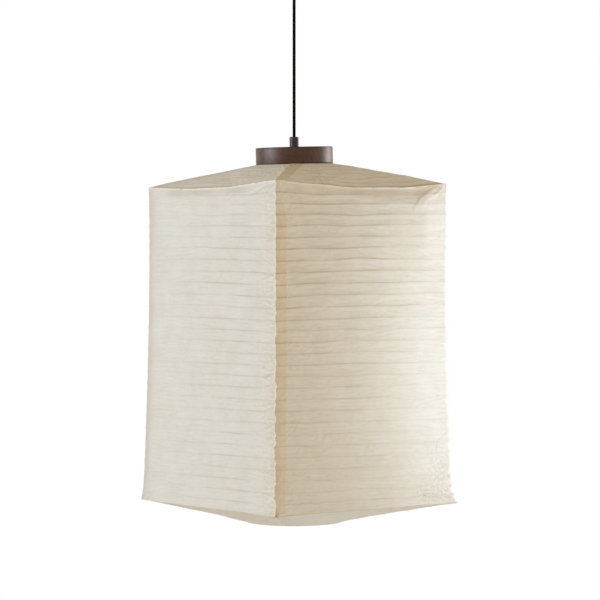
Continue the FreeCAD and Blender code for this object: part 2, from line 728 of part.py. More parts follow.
def shade():
    levels = shade_levels()
    paper_panels(levels)
    ribbed = [level for level in levels if level.ribbed][1:-1]
    eave = ROOF_BANDS - 1
    base = eave + WALL_BANDS
    solid_group("roof_ribs", [rib(level) for level in ribbed[:eave]])
    single("eave_rib", rib(ribbed[eave]))
    solid_group("wall_ribs", [rib(level) for level in ribbed[eave + 1:base]])
    single("base_rib", rib(ribbed[base]))
    solid_group("floor_ribs", [rib(level) for level in ribbed[base + 1:]])
    hoops = (("top_hoop", "top_hoop_radius", "roof_top - hoop_gauge / 2"),
             ("bottom_hoop", "mouth_diameter / 2", "mouth_level + hoop_gauge / 2"))
    for label, radius, level in hoops:
        hoop = doc.addObject("Part::Torus", label)
        hoop.Label = label
        bind(hoop, Radius1=radius, Radius2="hoop_gauge / 2")
        place(hoop, z=level)


# Write each piece to its own file

NODES = [
    "ceiling_bracket", "canopy_cup", "canopy_screws", "terminal_block", "terminal_screws",
    "canopy_nipple", "canopy_nut", "canopy_grip", "canopy_grip_screw", "cord_tail", "cord_bend", "cord_drop",
    "cap_grip", "cap_grip_screw", "cap_disc", "cap_nipple", "cap_washer", "cap_nut",
    "holder_cap", "holder_skirt", "holder_insert", "screw_shell", "centre_contact",
    "bulb_tip", "bulb_insulator", "bulb_screw_cap", "bulb_housing", "bulb_globe",
    "carrier_plate", "stretcher_leg_right", "stretcher_leg_left", "top_hoop", "bottom_hoop",
    "roof_ribs", "eave_rib", "wall_ribs", "base_rib", "floor_ribs",
    "paper_front", "paper_right", "paper_back", "paper_left",
]


def write_pieces():
    doc.recompute()
    for item in doc.Objects:
        if "Invalid" in item.State or "Error" in item.State:
            raise RuntimeError(f"{item.Name} failed: {item.State}")
    pieces = [doc.getObjectsByLabel(name)[0] for name in NODES]
    for piece in pieces:
        if piece.Shape.isNull() or not piece.Shape.isValid():
            raise RuntimeError(f"{piece.Label} has no valid shape")
    os.makedirs("parts", exist_ok=True)
    for piece in pieces:
        piece.Shape.exportStep(f"parts/{piece.Label}.step")
        box = piece.Shape.BoundBox
        print(f"{piece.Label}: {len(piece.Shape.Solids)} solid(s), {piece.Shape.Volume:.1f} mm3, "
              f"z {box.ZMin:.1f} to {box.ZMax:.1f}, {box.XLength:.1f} x {box.YLength:.1f}")


fill_sheet()
ceiling_bracket()
canopy()
terminal()
ceiling_grip()
cord()
cap()
lampholder()
bulb()
stretcher()
shade()
write_pieces()
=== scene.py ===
import math
import bpy
import numpy as np
from mathutils import Matrix, Vector, noise


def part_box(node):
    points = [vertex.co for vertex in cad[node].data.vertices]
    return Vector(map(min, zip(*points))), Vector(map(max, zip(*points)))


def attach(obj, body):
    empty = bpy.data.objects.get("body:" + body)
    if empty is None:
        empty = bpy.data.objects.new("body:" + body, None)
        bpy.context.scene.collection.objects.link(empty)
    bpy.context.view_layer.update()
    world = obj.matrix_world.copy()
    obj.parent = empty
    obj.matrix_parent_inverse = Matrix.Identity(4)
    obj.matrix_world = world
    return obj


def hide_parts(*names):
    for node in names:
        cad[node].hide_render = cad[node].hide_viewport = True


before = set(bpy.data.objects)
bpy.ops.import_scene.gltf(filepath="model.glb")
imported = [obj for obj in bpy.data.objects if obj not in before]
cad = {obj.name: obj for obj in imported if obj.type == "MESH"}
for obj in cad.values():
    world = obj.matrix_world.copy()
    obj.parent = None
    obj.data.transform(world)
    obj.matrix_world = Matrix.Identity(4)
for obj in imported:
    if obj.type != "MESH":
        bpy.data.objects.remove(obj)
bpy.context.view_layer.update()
scene = bpy.context.scene
scene.view_settings.view_transform = "Standard"
print("frame loaded,", len(cad), "nodes")


# camera, level with the middle of the shade and turned to its front right corner
cameraView = {"azimuth": 52.3, "distance": 4.222, "height": -0.609, "aside": 0.0113,  # degrees and metres
              "lens": 132.0, "sensor": 36, "shift": -0.025}  # mm, mm and share of the picture

turn = math.radians(cameraView["azimuth"])
towards = Vector((math.sin(turn), -math.cos(turn), 0))  # from the lamp to the camera
rightward = Vector((math.cos(turn), math.sin(turn), 0))  # along the picture
cameraPlace = towards * cameraView["distance"] + rightward * cameraView["aside"]
cameraPlace.z = cameraView["height"]
bpy.ops.object.select_all(action="DESELECT")
bpy.ops.object.camera_add(location=cameraPlace, rotation=(math.pi / 2, 0, turn))
scene.camera = bpy.context.object
scene.camera.data.lens = cameraView["lens"]
scene.camera.data.sensor_width = cameraView["sensor"]
scene.camera.data.shift_y = cameraView["shift"]
print("camera set")


# shared helpers for the materials
def linear(hexCode):
    parts = [int(hexCode[i:i + 2], 16) / 255 for i in (1, 3, 5)]
    return tuple(c / 12.92 if c <= 0.04045 else ((c + 0.055) / 1.055) ** 2.4 for c in parts) + (1.0,)


def addNode(tree, kind, settings=None, links=None):
    node = tree.nodes.new("ShaderNode" + kind)
    for name, value in (settings or {}).items():
        if isinstance(name, int) or name in node.inputs:
            node.inputs[name].default_value = value
        else:
            setattr(node, name, value)
    for name, source in (links or {}).items():
        tree.links.new(source, node.inputs[name])
    return node


def newMaterial(name):
    material = bpy.data.materials.new(name)
    material.use_nodes = True
    return material, material.node_tree, material.node_tree.nodes["Principled BSDF"]


def dress(piece, material):
    piece.data.materials.clear()
    piece.data.materials.append(material)


# cord: woven sleeve on a round lead, pulled straight by the lamp
cordRun = {"diameter": 0.0055, "overBraid": 0.0059,
           "foot": -0.345, "exit": -0.325, "midway": -0.19, "swing": -0.050,  # heights in the lamp's frame
           "bendGap": 0.0015, "tailMidway": -0.03, "tailEnd": -0.0082,  # the gap leaves room for the swing
           "black": "#0b0a0a", "thread": "#151313", "threadMm": 1.1, "threadPairs": 8.0, "roughness": 0.9}


def cordMaterial():
    # cotton braid over rubber: matt near-black threads in a fine diagonal weave
    material, tree, surface = newMaterial("braidedCotton")
    spot = addNode(tree, "TexCoord").outputs["Object"]
    parts = addNode(tree, "SeparateXYZ", links={0: spot})
    angle = addNode(tree, "Math", {"operation": "ARCTAN2"}, {0: parts.outputs["Y"], 1: parts.outputs["X"]})
    around = addNode(tree, "Math", {"operation": "MULTIPLY", 1: cordRun["threadPairs"]},
                     {0: angle.outputs[0]})
    rise = addNode(tree, "Math", {"operation": "MULTIPLY", 1: 1000 * math.pi / cordRun["threadMm"]},
                   {0: parts.outputs["Z"]})
    strands = []
    for way in ("ADD", "SUBTRACT"):
        phase = addNode(tree, "Math", {"operation": way}, {0: rise.outputs[0], 1: around.outputs[0]})
        strands.append(addNode(tree, "Math", {"operation": "SINE"}, {0: phase.outputs[0]}).outputs[0])
    weave = addNode(tree, "Math", {"operation": "MULTIPLY"}, {0: strands[0], 1: strands[1]})
    height = addNode(tree, "MapRange", {"From Min": -1.0}, {"Value": weave.outputs[0]})
    colour = addNode(tree, "Mix", {"data_type": "RGBA", 6: linear(cordRun["black"]),
                                   7: linear(cordRun["thread"])}, {0: height.outputs[0]})
    bump = addNode(tree, "Bump", {"Strength": 0.6, "Distance": 0.0004}, {"Height": height.outputs[0]})
    surface.inputs["Roughness"].default_value = cordRun["roughness"]
    surface.inputs["Specular IOR Level"].default_value = 0.0
    tree.links.new(colour.outputs[2], surface.inputs["Base Color"])
    tree.links.new(bump.outputs[0], surface.inputs["Normal"])
    return material


def layCord(name, heights):
    line = bpy.data.curves.new(name, "CURVE")
    line.dimensions = "3D"
    line.bevel_depth = cordRun["overBraid"] / 2
    line.bevel_resolution = 5
    line.use_fill_caps = True
    spline = line.splines.new("NURBS")
    spline.points.add(len(heights) - 1)
    for point, height in zip(spline.points, heights):
        point.co = (0, 0, height, 1)
    spline.order_u = 3
    spline.use_endpoint_u = True
    spline.resolution_u = 8
    piece = bpy.data.objects.new(name, line)
    scene.collection.objects.link(piece)
    return piece


braid = cordMaterial()
hangingCord = layCord("hangingCord", [cordRun[at] for at in ("foot", "exit", "midway", "swing")])
dress(hangingCord, braid)
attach(hangingCord, "cord_body")
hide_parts("cord_drop", "cord_bend")
tailStart = cordRun["swing"] + cordRun["bendGap"]
canopyTail = layCord("canopyTail", [tailStart, cordRun["tailMidway"], cordRun["tailEnd"]])
dress(canopyTail, braid)
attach(canopyTail, "ceiling_fitting")
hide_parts("cord_tail")
print("cord laid")


# paper shade: four sheets pasted over cane ribs, each lapped round one corner onto the next wall
shadeForm = {
    "roofBands": 6, "wallBands": 29, "floorBands": 5,  # paper bands between ribs
    "halfWidth": 0.2035, "topRadius": 0.0711, "mouthRadius": 0.0931,
    "roofTop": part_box("paper_front")[1].z, "roofRise": 0.044, "roofCrown": 0.22,
    "wallHeight": 0.602, "floorDrop": 0.0375,
    "eaveSag": 0.0085, "sagBands": 3, "eaveTuck": 0.0019, "tuckPower": 6,
    "skirtFlare": 0.010, "tipFlare": 0.0027, "tipPower": 30,
    "hoopRadius": 0.0905, "hoopGauge": 0.003, "ribGauge": 0.0016, "ribInset": 0.0014,
    "hemStart": -30, "hemTurn": 235, "hemTighten": 0.23,  # degrees that the hem goes round the hoop's wire
}
hangTilt = {"nearDown": 2.5, "rightUp": 1.4}  # degrees that the cap and the roof under it hang askew
sideNames = ("front", "right", "back", "left")
eaveLevel = shadeForm["roofBands"]  # a level counts the ribs down from the top hoop
baseLevel = eaveLevel + shadeForm["wallBands"]
lastLevel = baseLevel + shadeForm["floorBands"]
bandMm = shadeForm["wallHeight"] * 1000 / shadeForm["wallBands"]
halfMm = shadeForm["halfWidth"] * 1000

# how the ribs stray up and down, lengths in mm; four values go by wall: front, right, back, left
ribLie = {
    "waver": (1.7, 2.8, 1.5, 1.5), "calmer": 0.6,  # calmer towards the base
    "waves": (0.6, 0.4), "turns": (1.6, 3.4),  # shares of a long and a short wave, and how many a wall takes
    "turnsVary": (0.7, 1.0), "waverVary": (0.3, 1.0), "endStray": 0.4, "sagVary": (0.5, 1.3),
    "crowding": 12.5, "crowdPower": 8, "frontSlip": -4.0, "slipAt": 0.4, "slipReach": 0.12,  # at the corners
    "arch": 2.4, "archFrom": (7, 12), "archTo": (14, 26),  # levels
    "cornerLift": 4.0, "liftReach": 0.3, "liftBands": 3.5,
}
chance = np.random.default_rng(11)
ribPhase = chance.uniform(0, 2 * math.pi, (4, lastLevel + 2, 2))
ribTurns = chance.uniform(*ribLie["turnsVary"], (4, lastLevel + 2, 2)) * ribLie["turns"]
ribShare = chance.uniform(*ribLie["waverVary"], (4, lastLevel + 2))
wallShare = np.clip((np.arange(lastLevel + 2) - eaveLevel) / shadeForm["wallBands"], 0, 1)
fromMiddle = 1 - 2 * wallShare
cornerShift = chance.normal(0, ribLie["endStray"], (4, lastLevel + 2))
cornerShift[1:] += ribLie["crowding"] * fromMiddle * (1 - fromMiddle ** ribLie["crowdPower"])
cornerShift[0] += ribLie["frontSlip"] * np.exp(-((wallShare - ribLie["slipAt"]) / ribLie["slipReach"]) ** 2)
cornerSag = chance.uniform(*ribLie["sagVary"], (4, lastLevel + 2))

# how the paper lies, lengths in mm; four values go by wall, or by the corner at that wall's right end
paperLie = {
    "columns": 200, "roofRows": 10, "wallRows": 12, "floorRows": 5, "hemRows": 7,  # rows by band
    "bandDip": (0.55, 1.8, 0.9, 0.9), "bandFold": (0.3, 0.6, 0.4, 0.4),  # sag between ribs and a roll in it
    "tauter": 0.5, "tauterDrop": (100, 500),  # bands are pulled flatter lower down
    "dents": 0.8, "crinkle": 0.2, "cornerCrinkle": 3, "eaveRidge": 0.6, "ridgeReach": 2.2,
    "creases": 0.6, "flatCreases": (0.75, 1.0, 0.6, 0.6), "flatByCorner": 0.5, "flatPower": 7,
    "slants": {"slantUp": 0.55, "slantDown": -0.7},  # creases that run aslant, radians
    "slantCreases": 1.8, "slantEverywhere": 0.2, "slantPower": 4,
    "crumple": (1.45, 1.75, 1.1, 1.1),  # and the share of it that is left towards a wall's ends
    "rightCrumple": (0.9, 0, 0, 0), "rightReach": (0, 110), "leftCrumple": 0.45, "leftReach": (20, 130),
    "roofStreaks": 0.7, "roofFrom": (4, -14),
    "foldStart": (-0.08, 0.12), "foldEnd": (0.75, 1.1),  # shares of a fold's length
    "deepest": (-9, -0.5), "ribHold": 2,  # how far in folds go between ribs, and on a rib
    "cornerDip": (1.6, 1.2, 1.2, 0.3), "cornerCrease": (1.3, 0.45, 0.7, 0.3), "creaseReach": 34,
    "cornerRuffle": (1.9, 1.4, 1.2, 0.4), "cornerSlack": (0.7, 0.9, 0.5, 0.3), "slackLevels": (16, 31),
    "tipFlare": (0, 5.0, 0, 0), "edgeBlend": 14, "lean": 4.2,
    "lap": 24, "lapStart": 0.3, "lapColumns": 12, "lapLift": 0.5, "lapFlat": 0.3,  # flat: share of the lift
    "lapTaper": (0.6, 0.4, 0.4, 0), "taperRise": (-10, 0), "taperFall": (0, 75),  # narrower under the eave
    "lapTuck": (0.7, 0.7, 0.7, 0), "tuckAbove": (7, 1), "tuckBelow": (-30, -6),  # and at the base
}

# noise in the paper: size along and down in mm, or in bands where a pattern goes by band,
# then where its noise starts and the step by wall or corner
paperNoise = {
    "bandDip": {"size": (85, 1 / 1.7), "seed": (0, 11.3), "mean": 0.85, "vary": 0.7},
    "bandFold": {"size": (55, 1 / 2.9), "seed": (57.3, 3)},
    "dent": {"size": (100, 36), "seed": (50.5, 3)},
    "flatCrease": {"size": (62, 7.5), "seed": (80.2, 1)},
    "slantUp": {"size": (40, 13), "seed": (20.4, 5)},
    "slantUpPatch": {"size": (50, 50), "seed": (29.4, 1), "mean": 0.5, "vary": 1.2, "limits": (0, 1)},
    "slantDown": {"size": (40, 13), "seed": (34.8, 5)},
    "slantDownPatch": {"size": (50, 50), "seed": (43.8, 1), "mean": 0.5, "vary": 1.2, "limits": (0, 1)},
    "crinkle": {"size": (6.5, 5), "seed": (66.1, 1)},
    "crumpled": {"size": (75, 60), "seed": (140.7, 1), "mean": 0.65, "vary": 1.3, "limits": (0.3, 1.3)},
    "facet": {"size": (17, 10), "seed": (151.3, 1)},
    "smallFacet": {"size": (8, 6), "seed": (163.9, 1), "vary": 0.5},
    "crushed": {"size": (8, 6), "seed": (177.7, 0)},
    "streak": {"size": (80, 4.5), "seed": (190.3, 1)},
    "fineStreak": {"size": (45, 2.6), "seed": (197.1, 1), "vary": 0.6},
    "cornerOut": {"size": (6, 1), "seed": (4.4, 1), "vary": 0.45},
    "cornerAside": {"size": (9, 1), "row": 3, "seed": (14.4, 1)},
    "cornerFrill": {"size": (4, 1), "row": 9, "seed": (24.4, 1), "vary": 0.5},
    "lapEdge": {"size": (1 / 0.45, 1), "seed": (90.0, 1), "vary": 1.6},
    "edgeHighlightNoise": {"size": (6, 1), "seed": (7.7, 1), "mean": 1, "vary": 0.8},
    "hemBreaks": {"size": (halfMm / 3, 1), "seed": (31.0, 1), "mean": 0.7, "vary": 0.9, "limits": (0, 1)},
    "ribBreaks": {"size": (70, 1 / 2.3), "seed": (120.0, 1), "mean": 0.65, "vary": 0.9, "limits": (0.2, 1)},
    "eavePatches": {"size": (halfMm / 3, 1), "seed": (41.0, 1), "mean": 0.8, "limits": (0.3, 1)},
}

# folds pressed into the two walls seen first: mm in from the wall's right corner and mm below the eave
pressedFolds = {
    0: [
        {"path": [(6, 1), (90, 21)], "height": 1.0, "width": 5},
        {"path": [(29, 10), (74, 25)], "height": -0.9, "width": 4},
        {"path": [(83, 19), (227, 15)], "height": 0.8, "width": 4},
        {"path": [(129, 17), (154, 31)], "height": 0.8, "width": 4},
        {"path": [(29, 35), (37, 60)], "height": 0.9, "width": 4},
    ],
    1: [
        {"path": [(0, 0), (36, 11), (62, 28), (72, 43), (78, 60)], "height": 2.6, "width": 5, "back": 20},
        {"path": [(6, 3), (22, 20), (30, 26)], "height": 0.9, "width": 4, "back": 8},
        {"path": [(8, 0), (100, 20)], "height": -1.0, "width": 9},
        {"path": [(16, 7), (40, 30), (50, 54)], "height": -1.0, "width": 5},
        {"path": [(2, 12), (18, 36), (23, 62)], "height": 0.9, "width": 4, "back": 8},
        {"path": [(11, 90), (22, 106), (38, 112)], "height": -1.2, "width": 3, "back": 6},
        {"path": [(4, 460), (31, 476), (38, 504)], "height": -1.2, "width": 3, "back": 7},
        {"path": [(3, 535), (30, 545), (46, 560)], "height": 1.2, "width": 3, "back": 6},
        {"path": [(8, 581), (50, 573), (92, 577)], "height": 1.1, "width": 3},
    ],
}
crushedSpots = {1: [{"at": (28, 540), "size": (32, 46), "height": 2.88},
                    {"at": (44, 578), "size": (36, 11), "height": 5.28}]}  # lower right corner

# fans of small folds where the paper is pulled round the corners, by wall, in the same mm
cornerFans = {"perBand": 3, "reach": (12, 48), "spread": 15, "height": (0.4, 1.5), "width": (2.2, 4.2),
              "valleys": 0.35, "strength": {0: 1.0, 1: 0.25, 2: 0.6, 3: 0.6}}
for side, strength in cornerFans["strength"].items():
    folds = pressedFolds.setdefault(side, [])
    for level in range(eaveLevel, baseLevel):
        for _ in range(cornerFans["perBand"]):
            drop = (level - eaveLevel + chance.uniform(0, 1)) * bandMm
            end = (chance.uniform(*cornerFans["reach"]), drop + chance.uniform(-1, 1) * cornerFans["spread"])
            way = -1 if chance.uniform(0, 1) < cornerFans["valleys"] else 1
            folds.append({"path": [(0, drop), end],
                          "height": way * strength * chance.uniform(*cornerFans["height"]),
                          "width": chance.uniform(*cornerFans["width"])})


def between(low, high, share):
    return low + (high - low) * share


def smooth(value, low, high):  # rises from low to high, or falls where low is the greater
    share = np.clip((value - low) / (high - low), 0, 1)
    return share * share * (3 - 2 * share)


def span(value, rise, fall):  # 1 from the end of the rise to the start of the fall
    return smooth(value, *rise) * (1 - smooth(value, *fall))


def hump(value, reach):  # 1 at zero, nearly gone at twice the reach
    return np.exp(-(value / reach) ** 2)


def field(x, y, seed):
    flat = [noise.noise((p, q, seed)) for p, q in zip(np.ravel(x).tolist(), np.ravel(y).tolist())]
    return np.reshape(flat, np.shape(x))


def ripple(name, side, along, down):  # one pattern of paperNoise on a wall or at a corner
    n = paperNoise[name]
    (wide, tall), (seed, step) = n["size"], n["seed"]
    swell = field(along / wide, down / tall + n.get("row", 0), seed + step * side)
    swell = n.get("mean", 0) + n.get("vary", 1) * swell
    return np.clip(swell, *n["limits"]) if "limits" in n else swell


def levelAt(level):  # corner reach, middle reach, corner height and middle height of the shade's side
    f = shadeForm
    onRoof = level < eaveLevel
    roof = np.clip(level / f["roofBands"], 0, 1)
    wall = np.clip((level - eaveLevel) / f["wallBands"], 0, 1)
    floor = np.clip((level - baseLevel) / f["floorBands"], 0, 1)
    fall = roof * (1 - f["roofCrown"]) + roof ** 2 * f["roofCrown"]
    middle = f["halfWidth"] - f["eaveTuck"] * (1 - (1 - wall) ** f["tuckPower"]) + f["skirtFlare"] * wall ** 2
    corner = middle + f["tipFlare"] * wall ** f["tipPower"]
    middle = np.where(onRoof, between(f["topRadius"], middle, roof), between(middle, f["mouthRadius"], floor))
    corner = np.where(onRoof, between(f["topRadius"] / math.sqrt(2), corner, roof),
                      between(corner, f["mouthRadius"] / math.sqrt(2), floor))
    height = f["roofTop"] - fall * f["roofRise"] - wall * f["wallHeight"] - floor * f["floorDrop"]
    sag = f["eaveSag"] * np.where(onRoof, fall, np.clip(1 - (level - eaveLevel) / f["sagBands"], 0, 1) ** 2)
    return corner, middle, height, height - sag


def ribWander(side, s, level):  # mm that the ribs stray up or down
    r = ribLie
    low = np.clip(np.floor(level).astype(int), 0, lastLevel)
    part = np.clip(level - low, 0, 1)
    total = 0
    for index, share in ((low, 1 - part), (low + 1, part)):
        wave = sum(size * np.sin(ribTurns[side, index, i] * math.pi * s + ribPhase[side, index, i])
                   for i, size in enumerate(r["waves"]))
        stray = r["waver"][side] * ribShare[side, index] * wave * (1 - s ** 4)
        stray = stray * (1 - r["calmer"] * wallShare[index])
        ends = between(cornerShift[side - 1, index], cornerShift[side, index], (s + 1) / 2)
        total = total + share * (stray + ends)
    arch = r["arch"] * span(level, r["archFrom"], r["archTo"]) * (1 - s * s)
    still = span(level, (0, 3), (baseLevel - 0.5, baseLevel + 0.5))
    nearLift = {1: 1 - s, 2: 1 + s}.get(side)
    lift = 0
    if nearLift is not None:  # the back right corner has been pushed up
        reach = span(level, (2, eaveLevel), (eaveLevel, eaveLevel + r["liftBands"]))
        lift = r["cornerLift"] * hump(nearLift, r["liftReach"]) * reach
    return (total + arch) * still + lift


def paperRelief(side, s, level):  # mm that the paper stands out from its ribs, and its sharp creases alone
    p = paperLie
    along, down = s * halfMm, level * bandMm
    fromRight, fromLeft = halfMm - along, halfMm + along
    drop = down - eaveLevel * bandMm
    band = np.floor(level)
    slack = 1 - p["tauter"] * smooth(drop, *p["tauterDrop"])
    depth = p["bandDip"][side] * slack * ripple("bandDip", side, along, band)
    dips = p["dents"] * ripple("dent", side, along, down) - depth * np.sin(math.pi * (level - band))
    waves = p["bandFold"][side] * slack * ripple("bandFold", side, along, band)
    dips = dips + waves * np.sin(2 * math.pi * (level - band))
    nearCorner = (p["cornerCrease"][side] * np.exp(-fromRight / p["creaseReach"])
                  + p["cornerCrease"][side - 1] * np.exp(-fromLeft / p["creaseReach"]))
    flat = (1 - np.abs(ripple("flatCrease", side, along, down))) ** p["flatPower"]
    creased = -p["creases"] * flat * (p["flatCreases"][side] + p["flatByCorner"] * nearCorner)
    for name, lean in p["slants"].items():
        c, q = math.cos(lean), math.sin(lean)
        thin = (1 - np.abs(ripple(name, side, along * c + down * q, down * c - along * q))) ** p["slantPower"]
        thin = thin * ripple(name + "Patch", side, along, down)
        creased = creased + p["creases"] * p["slantCreases"] * thin * (p["slantEverywhere"] + nearCorner)
    for fold in pressedFolds[side]:
        creased = creased + foldRelief(fold, fromRight, drop)
    rough = p["crinkle"] * (1 + p["cornerCrinkle"] * nearCorner) * ripple("crinkle", side, along, down)
    crumpled = ripple("crumpled", side, along, down)
    crumpled = crumpled * between(p["rightCrumple"][side], 1, smooth(fromRight, *p["rightReach"]))
    crumpled = crumpled * between(p["leftCrumple"], 1, smooth(fromLeft, *p["leftReach"]))
    facets = np.abs(ripple("facet", side, along, down)) + np.abs(ripple("smallFacet", side, along, down))
    rough = rough + p["crumple"][side] * facets * crumpled
    for spot in crushedSpots.get(side, []):
        crush = hump(fromRight - spot["at"][0], spot["size"][0]) * hump(drop - spot["at"][1], spot["size"][1])
        creased = creased + spot["height"] * crush * np.abs(ripple("crushed", side, along, down))
    held = hump((level - np.round(level)) * bandMm, p["ribHold"])
    creased = np.maximum(creased, between(*p["deepest"], held))  # no fold goes in past a rib
    streaks = ripple("streak", side, along, down) + ripple("fineStreak", side, along, down)
    rough = rough + p["roofStreaks"] * streaks * smooth(drop, *p["roofFrom"])
    settled = np.clip(level, 0, 1) * np.clip((lastLevel - level) / 0.7, 0, 1)
    ridge = p["eaveRidge"] * hump(drop, p["ridgeReach"])  # paper doubled over the eave rib
    return (dips + creased + rough) * settled + ridge, creased * settled


def foldRelief(fold, inset, drop):  # ridge or valley along a path, its lower flank may be broader
    back = fold.get("back", fold["width"])
    ends = np.array(fold["path"])
    low, high = ends.min(0) - back, ends.max(0) + back
    near = (inset > low[0]) & (inset < high[0]) & (drop > low[1]) & (drop < high[1])
    x, y = inset[near], drop[near]
    nearest = np.full(len(x), np.inf)
    offset, run, done = 0, 0, 0
    for (x0, y0), (x1, y1) in zip(fold["path"], fold["path"][1:]):
        length = math.hypot(x1 - x0, y1 - y0)
        ux, uy = (x1 - x0) / length, (y1 - y0) / length
        along = (x - x0) * ux + (y - y0) * uy
        held = np.clip(along, 0, length)
        away = np.hypot(x - x0 - held * ux, y - y0 - held * uy)
        closer = away < nearest
        nearest = np.where(closer, away, nearest)
        offset = np.where(closer, (y - y0) * ux - (x - x0) * uy, offset)
        run = np.where(closer, done + along, run)
        done += length
    reach = span(run / done, paperLie["foldStart"], paperLie["foldEnd"])
    flank = np.where(offset > 0, back, fold["width"])
    relief = np.zeros(np.shape(inset))
    relief[near] = fold["height"] * reach * np.clip(1 - nearest / flank, 0, 1)
    return relief


def cornerPull(corner, level):  # mm out along the corner and mm aside
    p = paperLie
    looser = 1 + p["cornerSlack"][corner] * smooth(level, *p["slackLevels"])
    ruffle = p["cornerRuffle"][corner] * looser
    band = np.floor(level)
    sag = p["cornerDip"][corner] * looser * cornerSag[corner, np.clip(band.astype(int), 0, lastLevel)]
    down, row = level * bandMm, level * 0
    out = ruffle * ripple("cornerOut", corner, down, row) - sag * np.sin(math.pi * (level - band))
    aside = ruffle * (ripple("cornerAside", corner, down, row) + ripple("cornerFrill", corner, down, row))
    still = np.clip(level, 0, 1) * np.clip(lastLevel - level, 0, 1)
    tip = span(level, (baseLevel - 2, baseLevel), (baseLevel, baseLevel + 1))
    return out * still + p["tipFlare"][corner] * tip, aside * still


def facePoints(side, s, level):  # places, outward directions and creases at these shares across and levels
    p, f = paperLie, shadeForm
    rib = np.clip(level, 0, lastLevel)
    corner, middle, cornerHeight, middleHeight = levelAt(rib)
    bow = np.where(np.abs(middle - corner) < 2e-5, 2e-5, middle - corner)
    radius = (corner ** 2 + bow ** 2) / (2 * bow)
    opening = np.arcsin(corner / radius)
    place = np.stack((radius * np.sin(s * opening), middle - radius * (1 - np.cos(s * opening)),
                      between(cornerHeight, middleHeight, 1 - s * s) + ribWander(side, s, rib) / 1000), -1)
    facing = np.cross(np.gradient(place, axis=1), np.gradient(place, axis=0))
    facing /= np.maximum(np.linalg.norm(facing, axis=-1, keepdims=True), 1e-12)
    facing *= np.sign(facing[..., 1:2] + facing[..., 2:3] * 0.01)  # outwards, or up where it lies flat
    nearEdge = smooth(np.abs(s), 1 - p["edgeBlend"] / halfMm, 1)[..., None]
    diagonal = np.stack((np.sign(s), np.ones_like(s), np.zeros_like(s)), -1) / math.sqrt(2)
    relief, creased = paperRelief(side, s, rib)
    relief = relief[..., None] / 1000
    rightEnd = s > 0
    pulls = zip(cornerPull(side, rib), cornerPull(side - 1, rib))
    out, aside = (np.where(rightEnd, here, there) for here, there in pulls)
    pullX = np.where(rightEnd, out + aside, aside - out)
    pullY = np.where(rightEnd, out - aside, out + aside)
    pull = np.stack((pullX, pullY, np.zeros_like(s)), -1) / math.sqrt(2) / 1000
    place = place + between(relief * facing, pull, nearEdge)
    facing = between(facing, diagonal * math.sqrt(2), nearEdge)
    hem = np.clip(level - lastLevel, 0, 1)  # paper turned in round the bottom hoop
    beta = np.radians(f["hemStart"] - f["hemTurn"] * hem)
    wrap = f["hoopGauge"] * (1 - f["hemTighten"] * hem)
    reach = f["hoopRadius"] + wrap * np.cos(beta)
    sweep = s * math.pi / 4
    rim = np.stack((reach * np.sin(sweep), reach * np.cos(sweep),
                    cornerHeight + f["hoopGauge"] / 2 + wrap * np.sin(beta)), -1)
    rimFacing = np.stack((np.cos(beta) * np.sin(sweep), np.cos(beta) * np.cos(sweep), np.sin(beta)), -1)
    turnedIn = (level > lastLevel)[..., None]
    place, facing = np.where(turnedIn, rim, place), np.where(turnedIn, rimFacing, facing)
    place, facing = turnToSide(side, place), turnToSide(side, facing)
    askew = 1 - smooth(rib, 0, eaveLevel)
    swing = span(rib, (0, eaveLevel), (baseLevel, lastLevel - 1)) * p["lean"] / 1000
    near, right = place @ np.array(towards), place @ np.array(rightward)
    place = place + swing[..., None] * np.array(rightward)
    place[..., 2] += askew * (right * math.tan(math.radians(hangTilt["rightUp"]))
                              - near * math.tan(math.radians(hangTilt["nearDown"])))
    return place, facing, creased


def turnToSide(side, local):  # across, out and up of one wall to the lamp's own axes
    angle = side * math.pi / 2
    x, y = local[..., 0], -local[..., 1]
    return np.stack((x * math.cos(angle) - y * math.sin(angle), x * math.sin(angle) + y * math.cos(angle),
                     local[..., 2]), -1)


# marks on the paper that its material reads, 0 to 1
# reaches are in mm, parts run from -1 to 1 across a wall, and four values go by wall
wallLook = {
    "edgeHighlight": 3.0, "ribHighlight": 2.0, "baseHighlight": 0.6,  # painted highlight along the corner edges and on the eave and base ribs
    "endHighlight": (0.55, 1, 1, 1), "endPart": (0.5, 0.8),
    # painted highlight on the flap folded over at the right corner of the right wall
    "flapHighlight": 0.65, "flapSlope": 0.6, "flapSoft": 8, "flapIn": (70, 36), "flapDown": (70, 210),
    "hem": 0.5, "hemFrom": (1.5, 3.5), "hemTo": (7, 14),  # warmer band under the eave: doubled paper, with painted shade
    # the front wall is warmer and darker towards the front corner
    "hemLoss": 0.7, "hemLossPart": (-0.2, 0.5), "frontCornerTint": 0.28, "frontCornerReach": (36, 27),
    "ribShow": (0.4, 0.68, 0.5, 0.5), "baseShadowLine": 0.9, "floorShow": 0.12,  # cane seen through the paper; at the base rib a painted shadow line where the wall meets the floor
    "lowFade": (0.2, 0.5, 0.5, 0.5), "lowDrop": (100, 450),
    "endFade": 0.4, "fadePart": ((0.5, 1), (0.1, 0.6), (0.5, 1), (0.5, 1)),
    "frontShow": (0.1, 1.35), "frontShowPart": (-1.0, 0.6),
    "eaveShade": (0.36, 0.5, 0.3, 0.3), "eaveBand": (21, 25, 16, 16),  # shade in the hollow under the eave
    "eaveFrom": (1.5, 4), "eaveSoft": (0.65, 1.25),
    "eaveSpread": (0, 0.5, 0, 0), "spreadPart": (-0.1, 0.4),
    "frontEave": ((-0.95, -0.6), (0.4, 0.7)), "rightEave": (0.3, 1.3), "rightEavePart": (-0.7, 0.2),
    "rightEaveEnds": 0.5, "rightEaveEdge": (25, 60),
    # painted shadow line on the roof just above the eave
    "overEave": (0.5, 0.8, 0.5, 0.5), "overEaveAt": 6, "overEaveReach": 3.2,
    # painted highlight on crests and painted shade in the valleys of the creases
    "creaseHeight": 0.4, "crestHighlight": 0.25, "valleyShade": 0.16,
}
